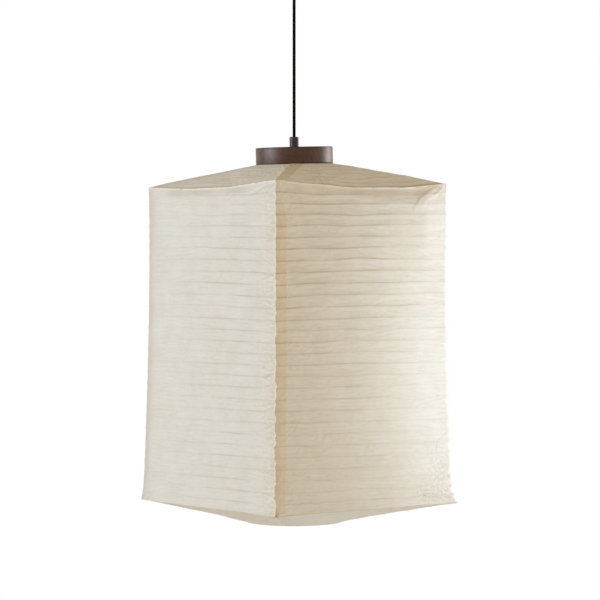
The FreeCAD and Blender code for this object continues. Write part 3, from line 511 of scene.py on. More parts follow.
lapLook = {
    # the lap's warmer tone: doubled paper, with painted shade
    "tone": (1, 0.5, 0.5, 0.15), "floorLoss": 0.85, "floorFrom": (-0.2, 0.4),
    "eaveLoss": 0.5, "eaveRise": (-4, 2), "eaveFall": (10, 70),
    "trace": (0.8, 0.6, 0.6, 0.18), "lowFade": 0.5, "lowDrop": (200, 450),
    # painted highlight along the eave near the corner
    "highlightShare": 0.7, "highlightReach": 2.0, "highlightAcross": (8, 20),
    # painted shade along the corner edge and on the roof part of the lap
    "cornerShade": 0.18, "creaseReach": 6, "roofFrom": (-2, -8),
    "spot": 0.8, "baseSpot": (9, 7), "eaveSpot": (2.5, 5), "eaveSpotAt": 2,  # painted shade at the ends of the corner
    "shade": (0, 0, 0, 0.26), "shadeEnd": 0.1,
}


def wallMarks(side, s, level, creased):
    m = wallLook
    along, row = s * halfMm, s * 0
    edge = halfMm * (1 - np.abs(s))
    below, underBase = (level - eaveLevel) * bandMm, (level - baseLevel) * bandMm
    # painted highlight along the corner edges and on the eave and base ribs
    edgeHighlightWidth = m["edgeHighlight"] * ripple("edgeHighlightNoise", side, level * bandMm, row)
    edgeHighlightShare = between(1, m["endHighlight"][side], smooth(s, *m["endPart"]))
    fold = np.maximum(edgeHighlightShare * hump(edge, edgeHighlightWidth), hump(below, m["ribHighlight"]))
    fold = np.maximum(fold, m["baseHighlight"] * hump(underBase, m["ribHighlight"]))
    # warmer band under the eave: doubled paper, with painted shade
    hem = m["hem"] * span(below, m["hemFrom"], m["hemTo"]) * ripple("hemBreaks", side, along, row)
    show = m["ribShow"][side] * ripple("ribBreaks", side, along, np.round(level))
    show = show * (1 - m["lowFade"][side] * smooth(below, *m["lowDrop"]))
    show = show * (1 - m["endFade"] * smooth(s, *m["fadePart"][side]))
    # painted shadow line along the base rib
    show = np.where(level > baseLevel - 0.5, m["baseShadowLine"], show)
    show = np.where(level > baseLevel + 0.5, m["floorShow"], show)
    eaveReach = m["eaveBand"][side] * (1 + m["eaveSpread"][side] * smooth(s, *m["spreadPart"]))
    eaveShade = span(below, m["eaveFrom"], [share * eaveReach for share in m["eaveSoft"]])
    eaveShade = m["eaveShade"][side] * eaveShade * ripple("eavePatches", side, along, row)
    if side == 0:  # the ribs fade on the left part of this wall, and the paper is warmer and darker towards the front corner
        show = show * between(*m["frontShow"], smooth(s, *m["frontShowPart"]))
        warmed = m["frontCornerTint"] * smooth(edge, *m["frontCornerReach"]) * (s > 0)
        hem = np.maximum(hem * (1 - m["hemLoss"] * smooth(s, *m["hemLossPart"])), warmed)
        eaveShade = eaveShade * span(s, *m["frontEave"])
    if side == 1:  # the eave's shade varies along this wall, and the flap where its right corner has been folded over gets a painted highlight
        eaveShade = eaveShade * between(*m["rightEave"], smooth(s, *m["rightEavePart"]))
        eaveShade = eaveShade * between(m["rightEaveEnds"], 1, smooth(edge, *m["rightEaveEdge"]))
        flapTop = edge * m["flapSlope"]
        flap = span(below, (flapTop, flapTop + m["flapSoft"]), m["flapDown"])
        fold = np.maximum(fold, m["flapHighlight"] * flap * smooth(edge, *m["flapIn"]) * (s > 0))
    # painted shadow line on the roof just above the eave
    overEave = m["overEave"][side] * hump(below + m["overEaveAt"], m["overEaveReach"])
    rows, columns = creased.shape
    padded = np.pad(creased, 2, mode="edge")
    around = sum(padded[i:i + rows, j:j + columns] for i in (0, 2, 4) for j in (0, 2, 4)) / 9
    sharp = (creased - around) / m["creaseHeight"]  # above 0 on a crest, below 0 in a valley
    # painted highlight on crests and painted shade in the valleys of the creases
    fold = np.maximum(fold, m["crestHighlight"] * np.clip(sharp, 0, 1))
    valley = np.maximum(m["valleyShade"] * np.clip(-sharp, 0, 1), np.maximum(eaveShade, overEave))
    return {"level": level, "lap": hem, "fold": fold, "ribShow": show, "valley": valley}


def lapMarks(side, across, level):
    m = lapLook
    underEave, aboveBase = (level - eaveLevel) * bandMm, (baseLevel - level) * bandMm
    tone = m["tone"][side] * (1 - m["floorLoss"] * smooth(level - baseLevel, *m["floorFrom"]))
    tone = tone * (1 - m["eaveLoss"] * span(underEave, m["eaveRise"], m["eaveFall"]))
    trace = wallLook["ribShow"][(side + 1) % 4] * m["trace"][side]
    trace = np.where(level > baseLevel + 0.5, wallLook["floorShow"], trace)
    trace = trace * (1 - m["lowFade"] * smooth(underEave, *m["lowDrop"]))
    # painted highlight along the eave near the corner
    fold = m["highlightShare"] * hump(underEave, m["highlightReach"]) * (1 - smooth(across, *m["highlightAcross"]))
    # painted shade along the corner edge, on the roof part of the lap and at the corner's ends
    valley = m["cornerShade"] * np.maximum(np.exp(-across / m["creaseReach"]), smooth(underEave, *m["roofFrom"]))
    for drop, (tall, wide) in ((aboveBase, m["baseSpot"]), (underEave + m["eaveSpotAt"], m["eaveSpot"])):
        valley = valley + m["spot"] * hump(drop, tall) * hump(across, wide)
    valley = np.clip(valley, 0, 1) * m["tone"][side]
    shade = m["shade"][side] * smooth(across, paperLie["lap"], m["shadeEnd"] * paperLie["lap"])
    return {"level": level, "lap": tone, "fold": fold, "ribShow": trace, "valley": np.maximum(valley, shade)}


def layLap(side, levels):  # strip of the sheet that is pasted round the corner onto the next wall
    p = paperLie
    across, level = np.meshgrid(np.linspace(p["lapStart"], p["lap"], p["lapColumns"] + 1), levels)
    across[:, -1] += ripple("lapEdge", side, levels, levels * 0)
    underEave, aboveBase = (level - eaveLevel) * bandMm, (baseLevel - level) * bandMm
    taper = p["lapTaper"][side] * span(underEave, p["taperRise"], p["taperFall"])
    tuck = p["lapTuck"][side] * smooth(aboveBase, *p["tuckAbove"]) * smooth(aboveBase, *p["tuckBelow"])
    across *= 1 - np.maximum(taper, tuck)
    shares = across / 1000 / levelAt(np.clip(level, 0, lastLevel))[0] - 1
    points, facing, _ = facePoints((side + 1) % 4, shares, level)
    flat = np.maximum(smooth(across / p["lap"], 0.5, 1), smooth(aboveBase, 5, -5))
    lift = p["lapLift"] / 1000 * between(1, p["lapFlat"], flat)
    return points + facing * lift[..., None], across, level


def pasteSheet(side):
    p, f = paperLie, shadeForm
    even = np.linspace(-1, 1, p["columns"] + 1)
    main = 0.5 * even + 0.5 * np.sin(even * math.pi / 2)  # closer together towards the corners
    levels = np.concatenate((lastLevel + np.arange(p["hemRows"], 0, -1) / p["hemRows"],
                             np.linspace(lastLevel, baseLevel, f["floorBands"] * p["floorRows"] + 1)[:-1],
                             np.linspace(baseLevel, eaveLevel, f["wallBands"] * p["wallRows"] + 1),
                             np.linspace(eaveLevel, 0, f["roofBands"] * p["roofRows"] + 1)[1:]))
    s, level = np.meshgrid(main, levels)
    points, _, creased = facePoints(side, s, level)
    lapPoints, across, lapLevel = layLap(side, levels)
    points = np.concatenate((points, lapPoints), 1)
    rows, columns = points.shape[:2]
    bpy.ops.object.select_all(action="DESELECT")
    bpy.ops.mesh.primitive_grid_add(x_subdivisions=columns - 1, y_subdivisions=rows - 1, size=2)
    piece = bpy.context.object
    piece.name = "paper" + sideNames[side].capitalize()
    piece.data.name = piece.name
    piece.data.vertices.foreach_set("co", points.ravel())
    onWall, onLap = wallMarks(side, s, level, creased), lapMarks(side, across, lapLevel)
    for name in onWall:
        values = np.concatenate((onWall[name], onLap[name]), 1).ravel()
        piece.data.attributes.new(name, "FLOAT", "POINT").data.foreach_set("value", values)
    piece.data.update()
    bpy.ops.object.shade_smooth_by_angle(angle=math.radians(50))
    return piece


paperLook = {
    # the cane's tone also paints shade, the lap's tone is warmer doubled paper with painted shade, the pale
    # tone is a painted highlight
    "cream": "#e9e6de", "shadow": "#e3dfd4", "fibre": "#f1efe8", "caneAndShadeTone": "#cbbfa6", "lapAndShadeTone": "#f7e9d8",
    "paleHighlight": "#fcfaf5", "through": "#f0d9ae", "mottleMm": 42, "fibreMm": 2.2, "puckerMm": 5, "crumpleMm": 16,
    "traceMm": (0.3, 1.9), "pasteMm": 7, "pasteShow": 0.3,  # cane's line, and paste soaked in beside it
    "highlightShare": 0.85, "letThrough": 0.34, "roughness": 0.88, "specular": 0.2,
}


def paperMaterial():
    # mulberry paper, sheet-formed and pasted wet: matt and fibrous, cloudy in thickness, light comes through,
    # the cane shows as faint lines, pasted laps look warmer with painted shade, creases and the eave get
    # painted shade, and edges, crests and folds a painted highlight
    k = paperLook
    material, tree, surface = newMaterial("mulberryPaper")
    spot = addNode(tree, "TexCoord").outputs["Object"]
    cloud = addNode(tree, "TexNoise", {"Scale": 1000 / k["mottleMm"], "Detail": 3.0, "Roughness": 0.6},
                    {"Vector": spot})
    squeeze = addNode(tree, "Mapping", {"Scale": (0.16, 0.16, 1.0)}, {"Vector": spot})
    fibre = addNode(tree, "TexNoise", {"Scale": 1000 / k["fibreMm"], "Detail": 2.0, "Distortion": 0.6},
                    {"Vector": squeeze.outputs[0]})  # coarser than real fibres, so that they show
    # fold carries a painted highlight, valley painted shade, and lap a warmer tone with painted shade
    level, lap, fold, show, valley = (addNode(tree, "Attribute", {"attribute_name": name}).outputs["Fac"]
                                      for name in ("level", "lap", "fold", "ribShow", "valley"))
    tone = addNode(tree, "MapRange", {"From Min": 0.35, "From Max": 0.75}, {"Value": cloud.outputs["Fac"]})
    ground = addNode(tree, "Mix", {"data_type": "RGBA", 6: linear(k["cream"]), 7: linear(k["shadow"])},
                     {0: tone.outputs[0]})
    threads = addNode(tree, "MapRange", {"From Min": 0.58, "From Max": 0.75, "To Max": 0.45},
                      {"Value": fibre.outputs["Fac"]})
    fibrous = addNode(tree, "Mix", {"data_type": "RGBA", 7: linear(k["fibre"])},
                      {0: threads.outputs[0], 6: ground.outputs[2]})
    nearest = addNode(tree, "Math", {"operation": "PINGPONG", 1: 0.5}, {0: level})
    trace = addNode(tree, "MapRange", {"From Min": k["traceMm"][0] / bandMm,
                                       "From Max": k["traceMm"][1] / bandMm, "To Min": 1.0,
                                       "To Max": 0.0}, {"Value": nearest.outputs[0]})
    soaked = addNode(tree, "MapRange", {"From Max": k["pasteMm"] / bandMm, "To Min": k["pasteShow"],
                                        "To Max": 0.0}, {"Value": nearest.outputs[0]})
    patchy = addNode(tree, "Math", {"operation": "MULTIPLY"}, {0: soaked.outputs[0], 1: tone.outputs[0]})
    marked = addNode(tree, "Math", {"operation": "MAXIMUM"}, {0: trace.outputs[0], 1: patchy.outputs[0]})
    traced = addNode(tree, "Math", {"operation": "MULTIPLY"}, {0: marked.outputs[0], 1: show})
    shaded = addNode(tree, "Math", {"operation": "MAXIMUM"}, {0: traced.outputs[0], 1: valley})
    # the cane's lines and painted shade darken the paper with one tone
    tracedAndShaded = addNode(tree, "Mix", {"data_type": "RGBA", "blend_type": "MULTIPLY", 7: linear(k["caneAndShadeTone"])},
                     {0: shaded.outputs[0], 6: fibrous.outputs[2]})
    # warmer doubled paper with painted shade
    warmed = addNode(tree, "Mix", {"data_type": "RGBA", "blend_type": "MULTIPLY", 7: linear(k["lapAndShadeTone"])},
                     {0: lap, 6: tracedAndShaded.outputs[2]})
    # painted highlight on the corner edges, eave and base ribs, crests and the folded flap
    highlightShare = addNode(tree, "Math", {"operation": "MULTIPLY", 1: k["highlightShare"]}, {0: fold})
    paleHighlight = addNode(tree, "Mix", {"data_type": "RGBA", 7: linear(k["paleHighlight"])},
                   {0: highlightShare.outputs[0], 6: warmed.outputs[2]})
    tall = addNode(tree, "Mapping", {"Scale": (1.0, 1.0, 0.22)}, {"Vector": spot})
    pucker = addNode(tree, "TexNoise", {"Scale": 1000 / k["puckerMm"], "Detail": 1.0},
                     {"Vector": tall.outputs[0]})
    where = addNode(tree, "MapRange", {"From Min": 0.5, "From Max": 0.62}, {"Value": cloud.outputs["Fac"]})
    puckered = addNode(tree, "Math", {"operation": "MULTIPLY"},
                       {0: pucker.outputs["Fac"], 1: where.outputs[0]})
    crumple = addNode(tree, "TexNoise", {"noise_type": "RIDGED_MULTIFRACTAL", "Scale": 1000 / k["crumpleMm"],
                                         "Detail": 2.0, "Distortion": 0.4}, {"Vector": spot})
    grain = addNode(tree, "Math", {"operation": "ADD"}, {0: fibre.outputs["Fac"], 1: puckered.outputs[0]})
    wrinkled = addNode(tree, "Math", {"operation": "MULTIPLY_ADD", 1: 0.5},
                       {0: crumple.outputs["Fac"], 2: grain.outputs[0]})
    bump = addNode(tree, "Bump", {"Strength": 0.45, "Distance": 0.0006}, {"Height": wrinkled.outputs[0]})
    surface.inputs["Roughness"].default_value = k["roughness"]
    surface.inputs["Specular IOR Level"].default_value = k["specular"]
    tree.links.new(paleHighlight.outputs[2], surface.inputs["Base Color"])
    tree.links.new(bump.outputs[0], surface.inputs["Normal"])
    warm = addNode(tree, "Mix", {"data_type": "RGBA", "blend_type": "MULTIPLY", 0: 1.0,
                                 7: linear(k["through"])}, {6: paleHighlight.outputs[2]})
    glow = addNode(tree, "BsdfTranslucent", links={"Color": warm.outputs[2]})
    share = addNode(tree, "MapRange", {"To Min": k["letThrough"], "To Max": k["letThrough"] / 2},
                    {"Value": lap})  # a lap is double paper
    both = addNode(tree, "MixShader", links={0: share.outputs[0], 1: surface.outputs[0], 2: glow.outputs[0]})
    tree.links.new(both.outputs[0], tree.nodes["Material Output"].inputs["Surface"])
    return material


mulberryPaper = paperMaterial()
sheets = []
for side in range(4):
    sheetPiece = pasteSheet(side)
    dress(sheetPiece, mulberryPaper)
    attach(sheetPiece, "lamp")
    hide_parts("paper_" + sideNames[side])
    sheets.append(sheetPiece)
print("paper pasted,", sum(len(o.data.polygons) for o in sheets), "faces")


def bendRibs(name, levels, steps=20):
    line = bpy.data.curves.new(name, "CURVE")
    line.dimensions = "3D"
    line.bevel_depth = shadeForm["ribGauge"] / 2
    line.bevel_resolution = 0
    shares = np.linspace(-1, 1, steps + 1)[:-1]
    beside = np.array((-0.06, 0, 0.06))  # bands, so that the paper's direction is known at the rib
    for level in levels:
        s, rows = np.meshgrid(shares, level + beside)
        loop = []
        for side in range(4):
            points, facing, _ = facePoints(side, s, rows)
            loop.append(points[1] - facing[1] * shadeForm["ribInset"])
        loop = np.concatenate(loop)
        spline = line.splines.new("POLY")
        spline.points.add(len(loop) - 1)
        spline.points.foreach_set("co", np.column_stack((loop, np.ones(len(loop)))).ravel())
        spline.use_cyclic_u = True
    piece = bpy.data.objects.new(name, line)
    scene.collection.objects.link(piece)
    bpy.ops.object.select_all(action="DESELECT")
    piece.select_set(True)
    bpy.context.view_layer.objects.active = piece
    bpy.ops.object.convert(target="MESH")
    return bpy.context.object


# finishes for everything that is metal, plastic, glazed or cane
finishCloudMm = 16.67  # slow drift of tone over all of them
finishes = [
    {"name": "galvanisedSteel", "slot": "galvanised steel", "tones": ("#a9adae", "#8d9294"), "grainMm": 6,
     "roughness": (0.32, 0.5), "bump": 0.00004, "metallic": 1.0,
     "pieces": ["ceiling_bracket", "canopy_nut", "canopy_nipple", "terminal_screws", "cap_nipple", "cap_nut",
                "cap_washer"]},  # hot-dipped zinc: pale grey with a soft spangle
    {"name": "bronzeLacquer", "slot": "bronze lacquer", "tones": ("#3a2419", "#2d1b12"), "grainMm": 1.2,
     "roughness": (0.38, 0.5), "bump": 0.00003, "metallic": 0.35, "stretch": (1, 1, 5),
     "pieces": ["canopy_cup", "canopy_screws", "canopy_grip",
                "cap_grip"]},  # turned steel under brown lacquer: dim metallic gloss
    {"name": "blackenedScrew", "slot": "galvanised steel", "tones": ("#2b2420", "#3a302a"), "grainMm": 0.8,
     "roughness": (0.35, 0.5), "bump": 0.00003, "metallic": 0.8,
     "pieces": ["canopy_grip_screw", "cap_grip_screw"]},  # steel blackened in oil: dark with a faint shine
    {"name": "terminalNylon", "slot": "terminal plastic", "tones": ("#e3ddcc", "#d8d1bd"), "grainMm": 2.5,
     "roughness": (0.45, 0.6), "bump": 0.00003, "metallic": 0.0,
     "pieces": ["terminal_block"]},  # moulded nylon: milky and slightly waxy
    {"name": "turnedBrass", "slot": "brass", "tones": ("#c39b4f", "#ab853e"), "grainMm": 1.0,
     "roughness": (0.25, 0.38), "bump": 0.00003, "metallic": 1.0, "stretch": (1, 1, 6),
     "pieces": ["screw_shell", "centre_contact"]},  # fine turning marks, dulled gold
    {"name": "phenolicResin", "slot": "holder plastic", "tones": ("#1f1d1c", "#292624"), "grainMm": 1.5,
     "roughness": (0.3, 0.42), "bump": 0.00003, "metallic": 0.0, "coat": 0.2,
     "pieces": ["holder_cap", "holder_skirt"]},  # moulded black resin: deep colour, even gloss
    {"name": "glazedPorcelain", "slot": "porcelain", "tones": ("#eeebe2", "#e5e0d4"), "grainMm": 4,
     "roughness": (0.12, 0.22), "bump": 0.00004, "metallic": 0.0, "coat": 0.4,
     "pieces": ["holder_insert"]},  # fired glaze: white, wet shine, slight orange peel
    {"name": "nickelPlate", "slot": "nickelled cap", "tones": ("#c9c6bf", "#b3afa6"), "grainMm": 1.4,
     "roughness": (0.18, 0.32), "bump": 0.00003, "metallic": 1.0, "stretch": (1, 1, 4),
     "pieces": ["bulb_screw_cap", "bulb_tip"]},  # plated brass, rolled thread: warm bright metal
    {"name": "blackGlass", "slot": "bulb insulator", "tones": ("#191716", "#242120"), "grainMm": 2,
     "roughness": (0.15, 0.25), "bump": 0.00003, "metallic": 0.0,
     "pieces": ["bulb_insulator"]},  # pressed glass: black and shiny
    {"name": "bulbResin", "slot": "bulb housing", "tones": ("#efede8", "#e6e3dc"), "grainMm": 1.2,
     "roughness": (0.42, 0.55), "bump": 0.00003, "metallic": 0.0,
     "pieces": ["bulb_housing"]},  # moulded white resin with a fine spark-eroded texture
    {"name": "powderedWire", "slot": "white wire", "tones": ("#e9e6df", "#dedad1"), "grainMm": 1.1,
     "roughness": (0.4, 0.58), "bump": 0.00006, "metallic": 0.0,
     "pieces": ["carrier_plate", "stretcher_leg_right", "stretcher_leg_left", "top_hoop",
                "bottom_hoop"]},  # powder coat on steel: white with a slight orange peel
    {"name": "splitCane", "slot": "split cane", "tones": ("#d8c091", "#bfa26e"), "grainMm": 1.6,
     "roughness": (0.55, 0.75), "bump": 0.00008, "metallic": 0.0, "stretch": (0.2, 0.2, 1),
     "pieces": []},  # split bamboo: straw colour, long fibres
]


def makeFinish(f):
    material, tree, surface = newMaterial(f["name"])
    spot = addNode(tree, "TexCoord").outputs["Object"]
    turned = addNode(tree, "Mapping", {"Scale": f.get("stretch", (1, 1, 1))}, {"Vector": spot})
    grain = addNode(tree, "TexNoise", {"Scale": 1000 / f["grainMm"], "Detail": 3.0},
                    {"Vector": turned.outputs[0]})
    wide = addNode(tree, "TexNoise", {"Scale": 1000 / finishCloudMm, "Detail": 2.0}, {"Vector": spot})
    mixed = addNode(tree, "Math", {"operation": "MULTIPLY_ADD", 1: 0.6},
                    {0: grain.outputs["Fac"], 2: wide.outputs["Fac"]})
    tone = addNode(tree, "MapRange", {"From Min": 0.55, "From Max": 1.05}, {"Value": mixed.outputs[0]})
    colour = addNode(tree, "Mix", {"data_type": "RGBA", 6: linear(f["tones"][0]), 7: linear(f["tones"][1])},
                     {0: tone.outputs[0]})
    rough = addNode(tree, "MapRange", {"From Min": 0.3, "From Max": 0.7, "To Min": f["roughness"][0],
                                       "To Max": f["roughness"][1]}, {"Value": grain.outputs["Fac"]})
    bump = addNode(tree, "Bump", {"Strength": 0.5, "Distance": f["bump"]}, {"Height": grain.outputs["Fac"]})
    surface.inputs["Metallic"].default_value = f["metallic"]
    surface.inputs["Coat Weight"].default_value = f.get("coat", 0.0)
    tree.links.new(colour.outputs[2], surface.inputs["Base Color"])
    tree.links.new(rough.outputs[0], surface.inputs["Roughness"])
    tree.links.new(bump.outputs[0], surface.inputs["Normal"])
    return material


made = {}
for finish in finishes:
    made[finish["name"]] = makeFinish(finish)
    for name in finish["pieces"]:
        dress(cad[name], made[finish["name"]])
print("finishes on", sum(len(f["pieces"]) for f in finishes), "parts")


ribSets = {"roofRibs": ("roof_ribs", range(1, eaveLevel)), "eaveRib": ("eave_rib", [eaveLevel]),
           "wallRibs": ("wall_ribs", range(eaveLevel + 1, baseLevel)), "baseRib": ("base_rib", [baseLevel]),
           "floorRibs": ("floor_ribs", range(baseLevel + 1, lastLevel))}
for name, (node, levels) in ribSets.items():
    ribs = bendRibs(name, levels)
    dress(ribs, made["splitCane"])
    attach(ribs, "lamp")
    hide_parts(node)
print("ribs bent")


walnutLook = {"light": "#4e2815", "dark": "#200e06", "pore": "#180c07", "edge": "#140a06", "gloss": "#ffe4cf",
              "ringMm": 8.5, "ringUnit": 0.314,  # metres between the texture's rings at a scale of 1
              "heartAside": -0.008, "heartHeight": -0.381, "ringShare": 0.18,
              "poreMm": 1.1, "streakMm": 11.11, "satin": (0.36, 0.48), "specular": 0.55}


def walnutMaterial():
    # walnut, turned and satin lacquered: chocolate heartwood, arched growth rings where the end grain shows,
    # long dark pores along the board and a broad soft highlight
    k = walnutLook
    material, tree, surface = newMaterial("satinWalnut")
    spot = addNode(tree, "TexCoord").outputs["Object"]
    heart = rightward * k["heartAside"] + Vector((0, 0, k["heartHeight"]))
    board = addNode(tree, "Mapping", {"vector_type": "TEXTURE", "Rotation": (0, 0, turn), "Location": heart},
                    {"Vector": spot})
    ring = addNode(tree, "TexWave", {"wave_type": "RINGS", "rings_direction": "Y", "Detail Scale": 0.6,
                                     "Scale": k["ringUnit"] / k["ringMm"] * 1000, "Distortion": 3.4,
                                     "Detail": 2.0}, {"Vector": board.outputs[0]})
    stretched = addNode(tree, "Mapping", {"Scale": (1.0, 0.09, 1.0)}, {"Vector": board.outputs[0]})
    pores = addNode(tree, "TexNoise", {"Scale": 1000 / k["poreMm"], "Detail": 2.0},
                    {"Vector": stretched.outputs[0]})
    streak = addNode(tree, "TexNoise", {"Scale": 1000 / k["streakMm"], "Detail": 3.0},
                     {"Vector": stretched.outputs[0]})
    blend = addNode(tree, "Math", {"operation": "MULTIPLY_ADD", 1: k["ringShare"]},
                    {0: ring.outputs["Fac"], 2: streak.outputs["Fac"]})
    tone = addNode(tree, "MapRange", {"From Min": 0.25, "From Max": 0.9}, {"Value": blend.outputs[0]})
    wood = addNode(tree, "Mix", {"data_type": "RGBA", 6: linear(k["dark"]), 7: linear(k["light"])},
                   {0: tone.outputs[0]})
    dots = addNode(tree, "MapRange", {"From Min": 0.56, "From Max": 0.68, "To Max": 0.7},
                   {"Value": pores.outputs["Fac"]})
    porous = addNode(tree, "Mix", {"data_type": "RGBA", 7: linear(k["pore"])},
                     {0: dots.outputs[0], 6: wood.outputs[2]})
    # painted dark reflection along the top edge
    rim = addNode(tree, "Attribute", {"attribute_name": "rim"}).outputs["Fac"]
    edged = addNode(tree, "Mix", {"data_type": "RGBA", 7: linear(k["edge"])}, {0: rim, 6: porous.outputs[2]})
    satin = addNode(tree, "MapRange", {"To Min": k["satin"][0], "To Max": k["satin"][1]},
                    {"Value": pores.outputs["Fac"]})
    rough = addNode(tree, "Math", {"operation": "MULTIPLY_ADD", 1: 0.5}, {0: rim, 2: satin.outputs[0]})
    bump = addNode(tree, "Bump", {"Strength": 0.3, "Distance": 0.0002, "invert": True},
                   {"Height": dots.outputs[0]})
    surface.inputs["Specular IOR Level"].default_value = k["specular"]
    surface.inputs["Specular Tint"].default_value = linear(k["gloss"])
    tree.links.new(edged.outputs[2], surface.inputs["Base Color"])
    tree.links.new(rough.outputs[0], surface.inputs["Roughness"])
    tree.links.new(bump.outputs[0], surface.inputs["Normal"])
    return material


walnutForm = {"radius": 0.074, "sides": 160, "edge": 0.0018, "edgeSteps": 4, "rimShare": 0.95,
              "recess": 0.036, "recessDepth": 0.0043}


def turnCap():
    low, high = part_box("cap_disc")
    bpy.ops.object.select_all(action="DESELECT")
    bpy.ops.mesh.primitive_cylinder_add(vertices=walnutForm["sides"], radius=walnutForm["radius"],
                                        depth=high.z - low.z, location=(0, 0, (low.z + high.z) / 2))
    piece = bpy.context.object
    piece.name = "walnutCap"
    bpy.ops.object.transform_apply(location=True)
    bpy.ops.object.mode_set(mode="EDIT")
    bpy.ops.mesh.select_all(action="DESELECT")
    bpy.ops.mesh.select_mode(type="FACE")
    bpy.ops.object.mode_set(mode="OBJECT")
    for face in piece.data.polygons:
        face.select = face.normal.z < -0.9
    bpy.ops.object.mode_set(mode="EDIT")
    bpy.ops.mesh.inset(thickness=walnutForm["radius"] - walnutForm["recess"])
    bpy.ops.mesh.extrude_region_move(TRANSFORM_OT_translate={"value": (0, 0, walnutForm["recessDepth"])})
    bpy.ops.object.mode_set(mode="OBJECT")
    edge = piece.modifiers.new("softEdge", "BEVEL")
    edge.width = walnutForm["edge"]
    edge.segments = walnutForm["edgeSteps"]
    edge.limit_method = "ANGLE"
    bpy.ops.object.modifier_apply(modifier="softEdge")
    rimFoot = high.z - walnutForm["edge"] * walnutForm["rimShare"]
    rim = [float(rimFoot < v.co.z) for v in piece.data.vertices]  # painted dark reflection along the top edge
    piece.data.attributes.new("rim", "FLOAT", "POINT").data.foreach_set("value", rim)
    pivot = Matrix.Translation((0, 0, high.z))  # the cap hangs askew about the middle of its top
    tilt = Matrix.Rotation(math.radians(hangTilt["nearDown"]), 4, rightward)
    tilt = Matrix.Rotation(math.radians(hangTilt["rightUp"]), 4, towards) @ tilt
    piece.data.transform(pivot @ tilt @ pivot.inverted())
    bpy.ops.object.shade_smooth_by_angle(angle=math.radians(40))
    return piece


walnutCap = turnCap()
dress(walnutCap, walnutMaterial())
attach(walnutCap, "lamp")
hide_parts("cap_disc")


globeLook = {"milk": "#f3f1ea", "core": "#e9e5d9", "cloudMm": 9, "frostMm": 0.714, "satin": (0.35, 0.55)}


def globeMaterial():
    # opal polycarbonate, blown and frosted: milky white, light spreads through it, silky surface
    k = globeLook
    material, tree, surface = newMaterial("opalGlobe")
    spot = addNode(tree, "TexCoord").outputs["Object"]
    cloud = addNode(tree, "TexNoise", {"Scale": 1000 / k["cloudMm"], "Detail": 2.0}, {"Vector": spot})
    frost = addNode(tree, "TexNoise", {"Scale": 1000 / k["frostMm"], "Detail": 1.0}, {"Vector": spot})
    colour = addNode(tree, "Mix", {"data_type": "RGBA", 6: linear(k["milk"]), 7: linear(k["core"])},
                     {0: cloud.outputs["Fac"]})
    rough = addNode(tree, "MapRange", {"To Min": k["satin"][0], "To Max": k["satin"][1]},
                    {"Value": frost.outputs["Fac"]})
    bump = addNode(tree, "Bump", {"Strength": 0.2, "Distance": 0.00003}, {"Height": frost.outputs["Fac"]})
    surface.inputs["Subsurface Weight"].default_value = 0.3
    surface.inputs["Subsurface Scale"].default_value = 0.004
    tree.links.new(colour.outputs[2], surface.inputs["Base Color"])
    tree.links.new(rough.outputs[0], surface.inputs["Roughness"])
    tree.links.new(bump.outputs[0], surface.inputs["Normal"])
    return material


dress(cad["bulb_globe"], globeMaterial())
print("wood and globe finished")


# studio: pale floor well below the lamp, soft boxes on both sides, behind and below, white all round
studio = {"floor": -7.0, "floorSize": 25.5, "middle": -0.722, "floorTone": "#f6f5f3", "floorWhite": 0.96,
          "ambient": "#fff4e0", "fromBelow": 1.4, "fromAbove": 0.455}
softBoxes = [  # metres to the right of the lamp and towards the camera, and the place that each box faces
    {"name": "leftBox", "aside": -3.55, "near": 0.95, "height": -0.1, "width": 2.2, "tall": 0.6,
     "power": 99, "tone": "#c4e1ff", "aim": (0, 0)},
    {"name": "rightBox", "aside": 0.415, "near": 0.21, "height": -0.73, "width": 0.1, "tall": 0.6,
     "power": 0.93, "tone": "#d6eaff", "aim": (0.283, 0.039)},
    {"name": "backBox", "aside": 1.7, "near": -0.9, "height": -0.3, "width": 0.9, "tall": 0.65,
     "power": 16.8, "tone": "#f4f4fa", "aim": (0, 0)},
    {"name": "lowBox", "aside": 0.25, "near": 0.32, "height": -2.1, "width": 1.2, "tall": 1.2,
     "power": 6.3, "tone": "#cce6fb", "aim": (0, 0)},
]


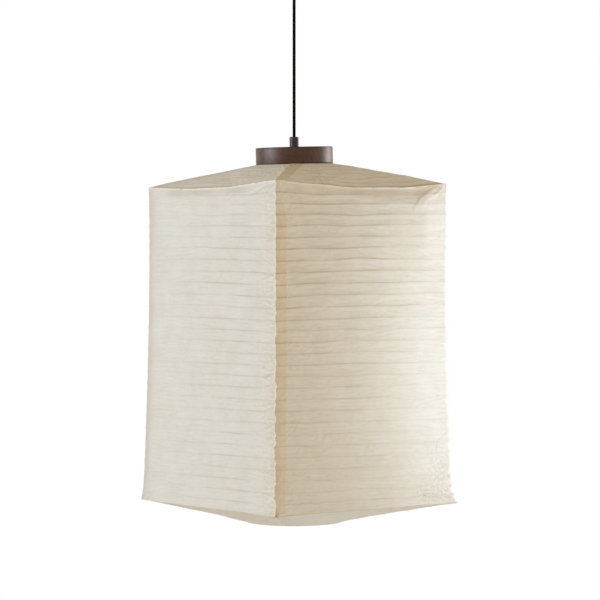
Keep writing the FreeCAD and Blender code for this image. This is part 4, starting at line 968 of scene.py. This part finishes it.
def buildStudio():
    bpy.ops.object.select_all(action="DESELECT")
    bpy.ops.mesh.primitive_plane_add(size=studio["floorSize"], location=(0, 0, studio["floor"]))
    floor = bpy.context.object
    floor.name = "studioFloor"
    bpy.ops.object.transform_apply(location=True)
    material, tree, surface = newMaterial("paleFloor")
    surface.inputs["Base Color"].default_value = linear(studio["floorTone"])
    surface.inputs["Roughness"].default_value = 0.9
    ray = addNode(tree, "LightPath")
    bare = addNode(tree, "Math", {"operation": "MULTIPLY", 1: studio["floorWhite"]},
                   {0: ray.outputs["Is Camera Ray"]})
    white = addNode(tree, "Emission", {"Color": (1, 1, 1, 1), "Strength": 1.0})
    mixed = addNode(tree, "MixShader", links={0: bare.outputs[0], 1: surface.outputs[0], 2: white.outputs[0]})
    tree.links.new(mixed.outputs[0], tree.nodes["Material Output"].inputs["Surface"])
    dress(floor, material)
    for box in softBoxes:
        spot = rightward * box["aside"] + towards * box["near"] + Vector((0, 0, box["height"]))
        aim = rightward * box["aim"][0] + towards * box["aim"][1] + Vector((0, 0, studio["middle"]))
        bpy.ops.object.light_add(type="AREA", location=spot)
        lamp = bpy.context.object
        lamp.name = box["name"]
        lamp.rotation_euler = (aim - spot).to_track_quat("-Z", "Y").to_euler()
        lamp.data.shape = "RECTANGLE"
        lamp.data.size = box["width"]
        lamp.data.size_y = box["tall"]
        lamp.visible_camera = False
        lamp.data.energy = box["power"]
        lamp.data.color = linear(box["tone"])[:3]
    world = bpy.data.worlds.new("whiteRoom")
    scene.world = world
    world.use_nodes = True
    tree = world.node_tree
    tree.nodes.clear()
    ray = addNode(tree, "LightPath")
    seen = addNode(tree, "Math", {"operation": "MAXIMUM"},
                   {0: ray.outputs["Is Camera Ray"], 1: ray.outputs["Is Glossy Ray"]})
    shown = addNode(tree, "Math", {"operation": "MAXIMUM"},
                    {0: seen.outputs[0], 1: ray.outputs["Is Transmission Ray"]})
    way = addNode(tree, "SeparateXYZ", links={0: addNode(tree, "TexCoord").outputs["Generated"]})
    level = addNode(tree, "MapRange", {"From Min": -1.0, "To Min": studio["fromBelow"],
                                       "To Max": studio["fromAbove"]}, {"Value": way.outputs["Z"]})
    soft = addNode(tree, "Background", {"Color": linear(studio["ambient"])}, {"Strength": level.outputs[0]})
    white = addNode(tree, "Background", {"Color": (1, 1, 1, 1), "Strength": 1.0})
    either = addNode(tree, "MixShader", links={0: shown.outputs[0], 1: soft.outputs[0], 2: white.outputs[0]})
    addNode(tree, "OutputWorld", links={"Surface": either.outputs[0]})


buildStudio()
print("studio lit")
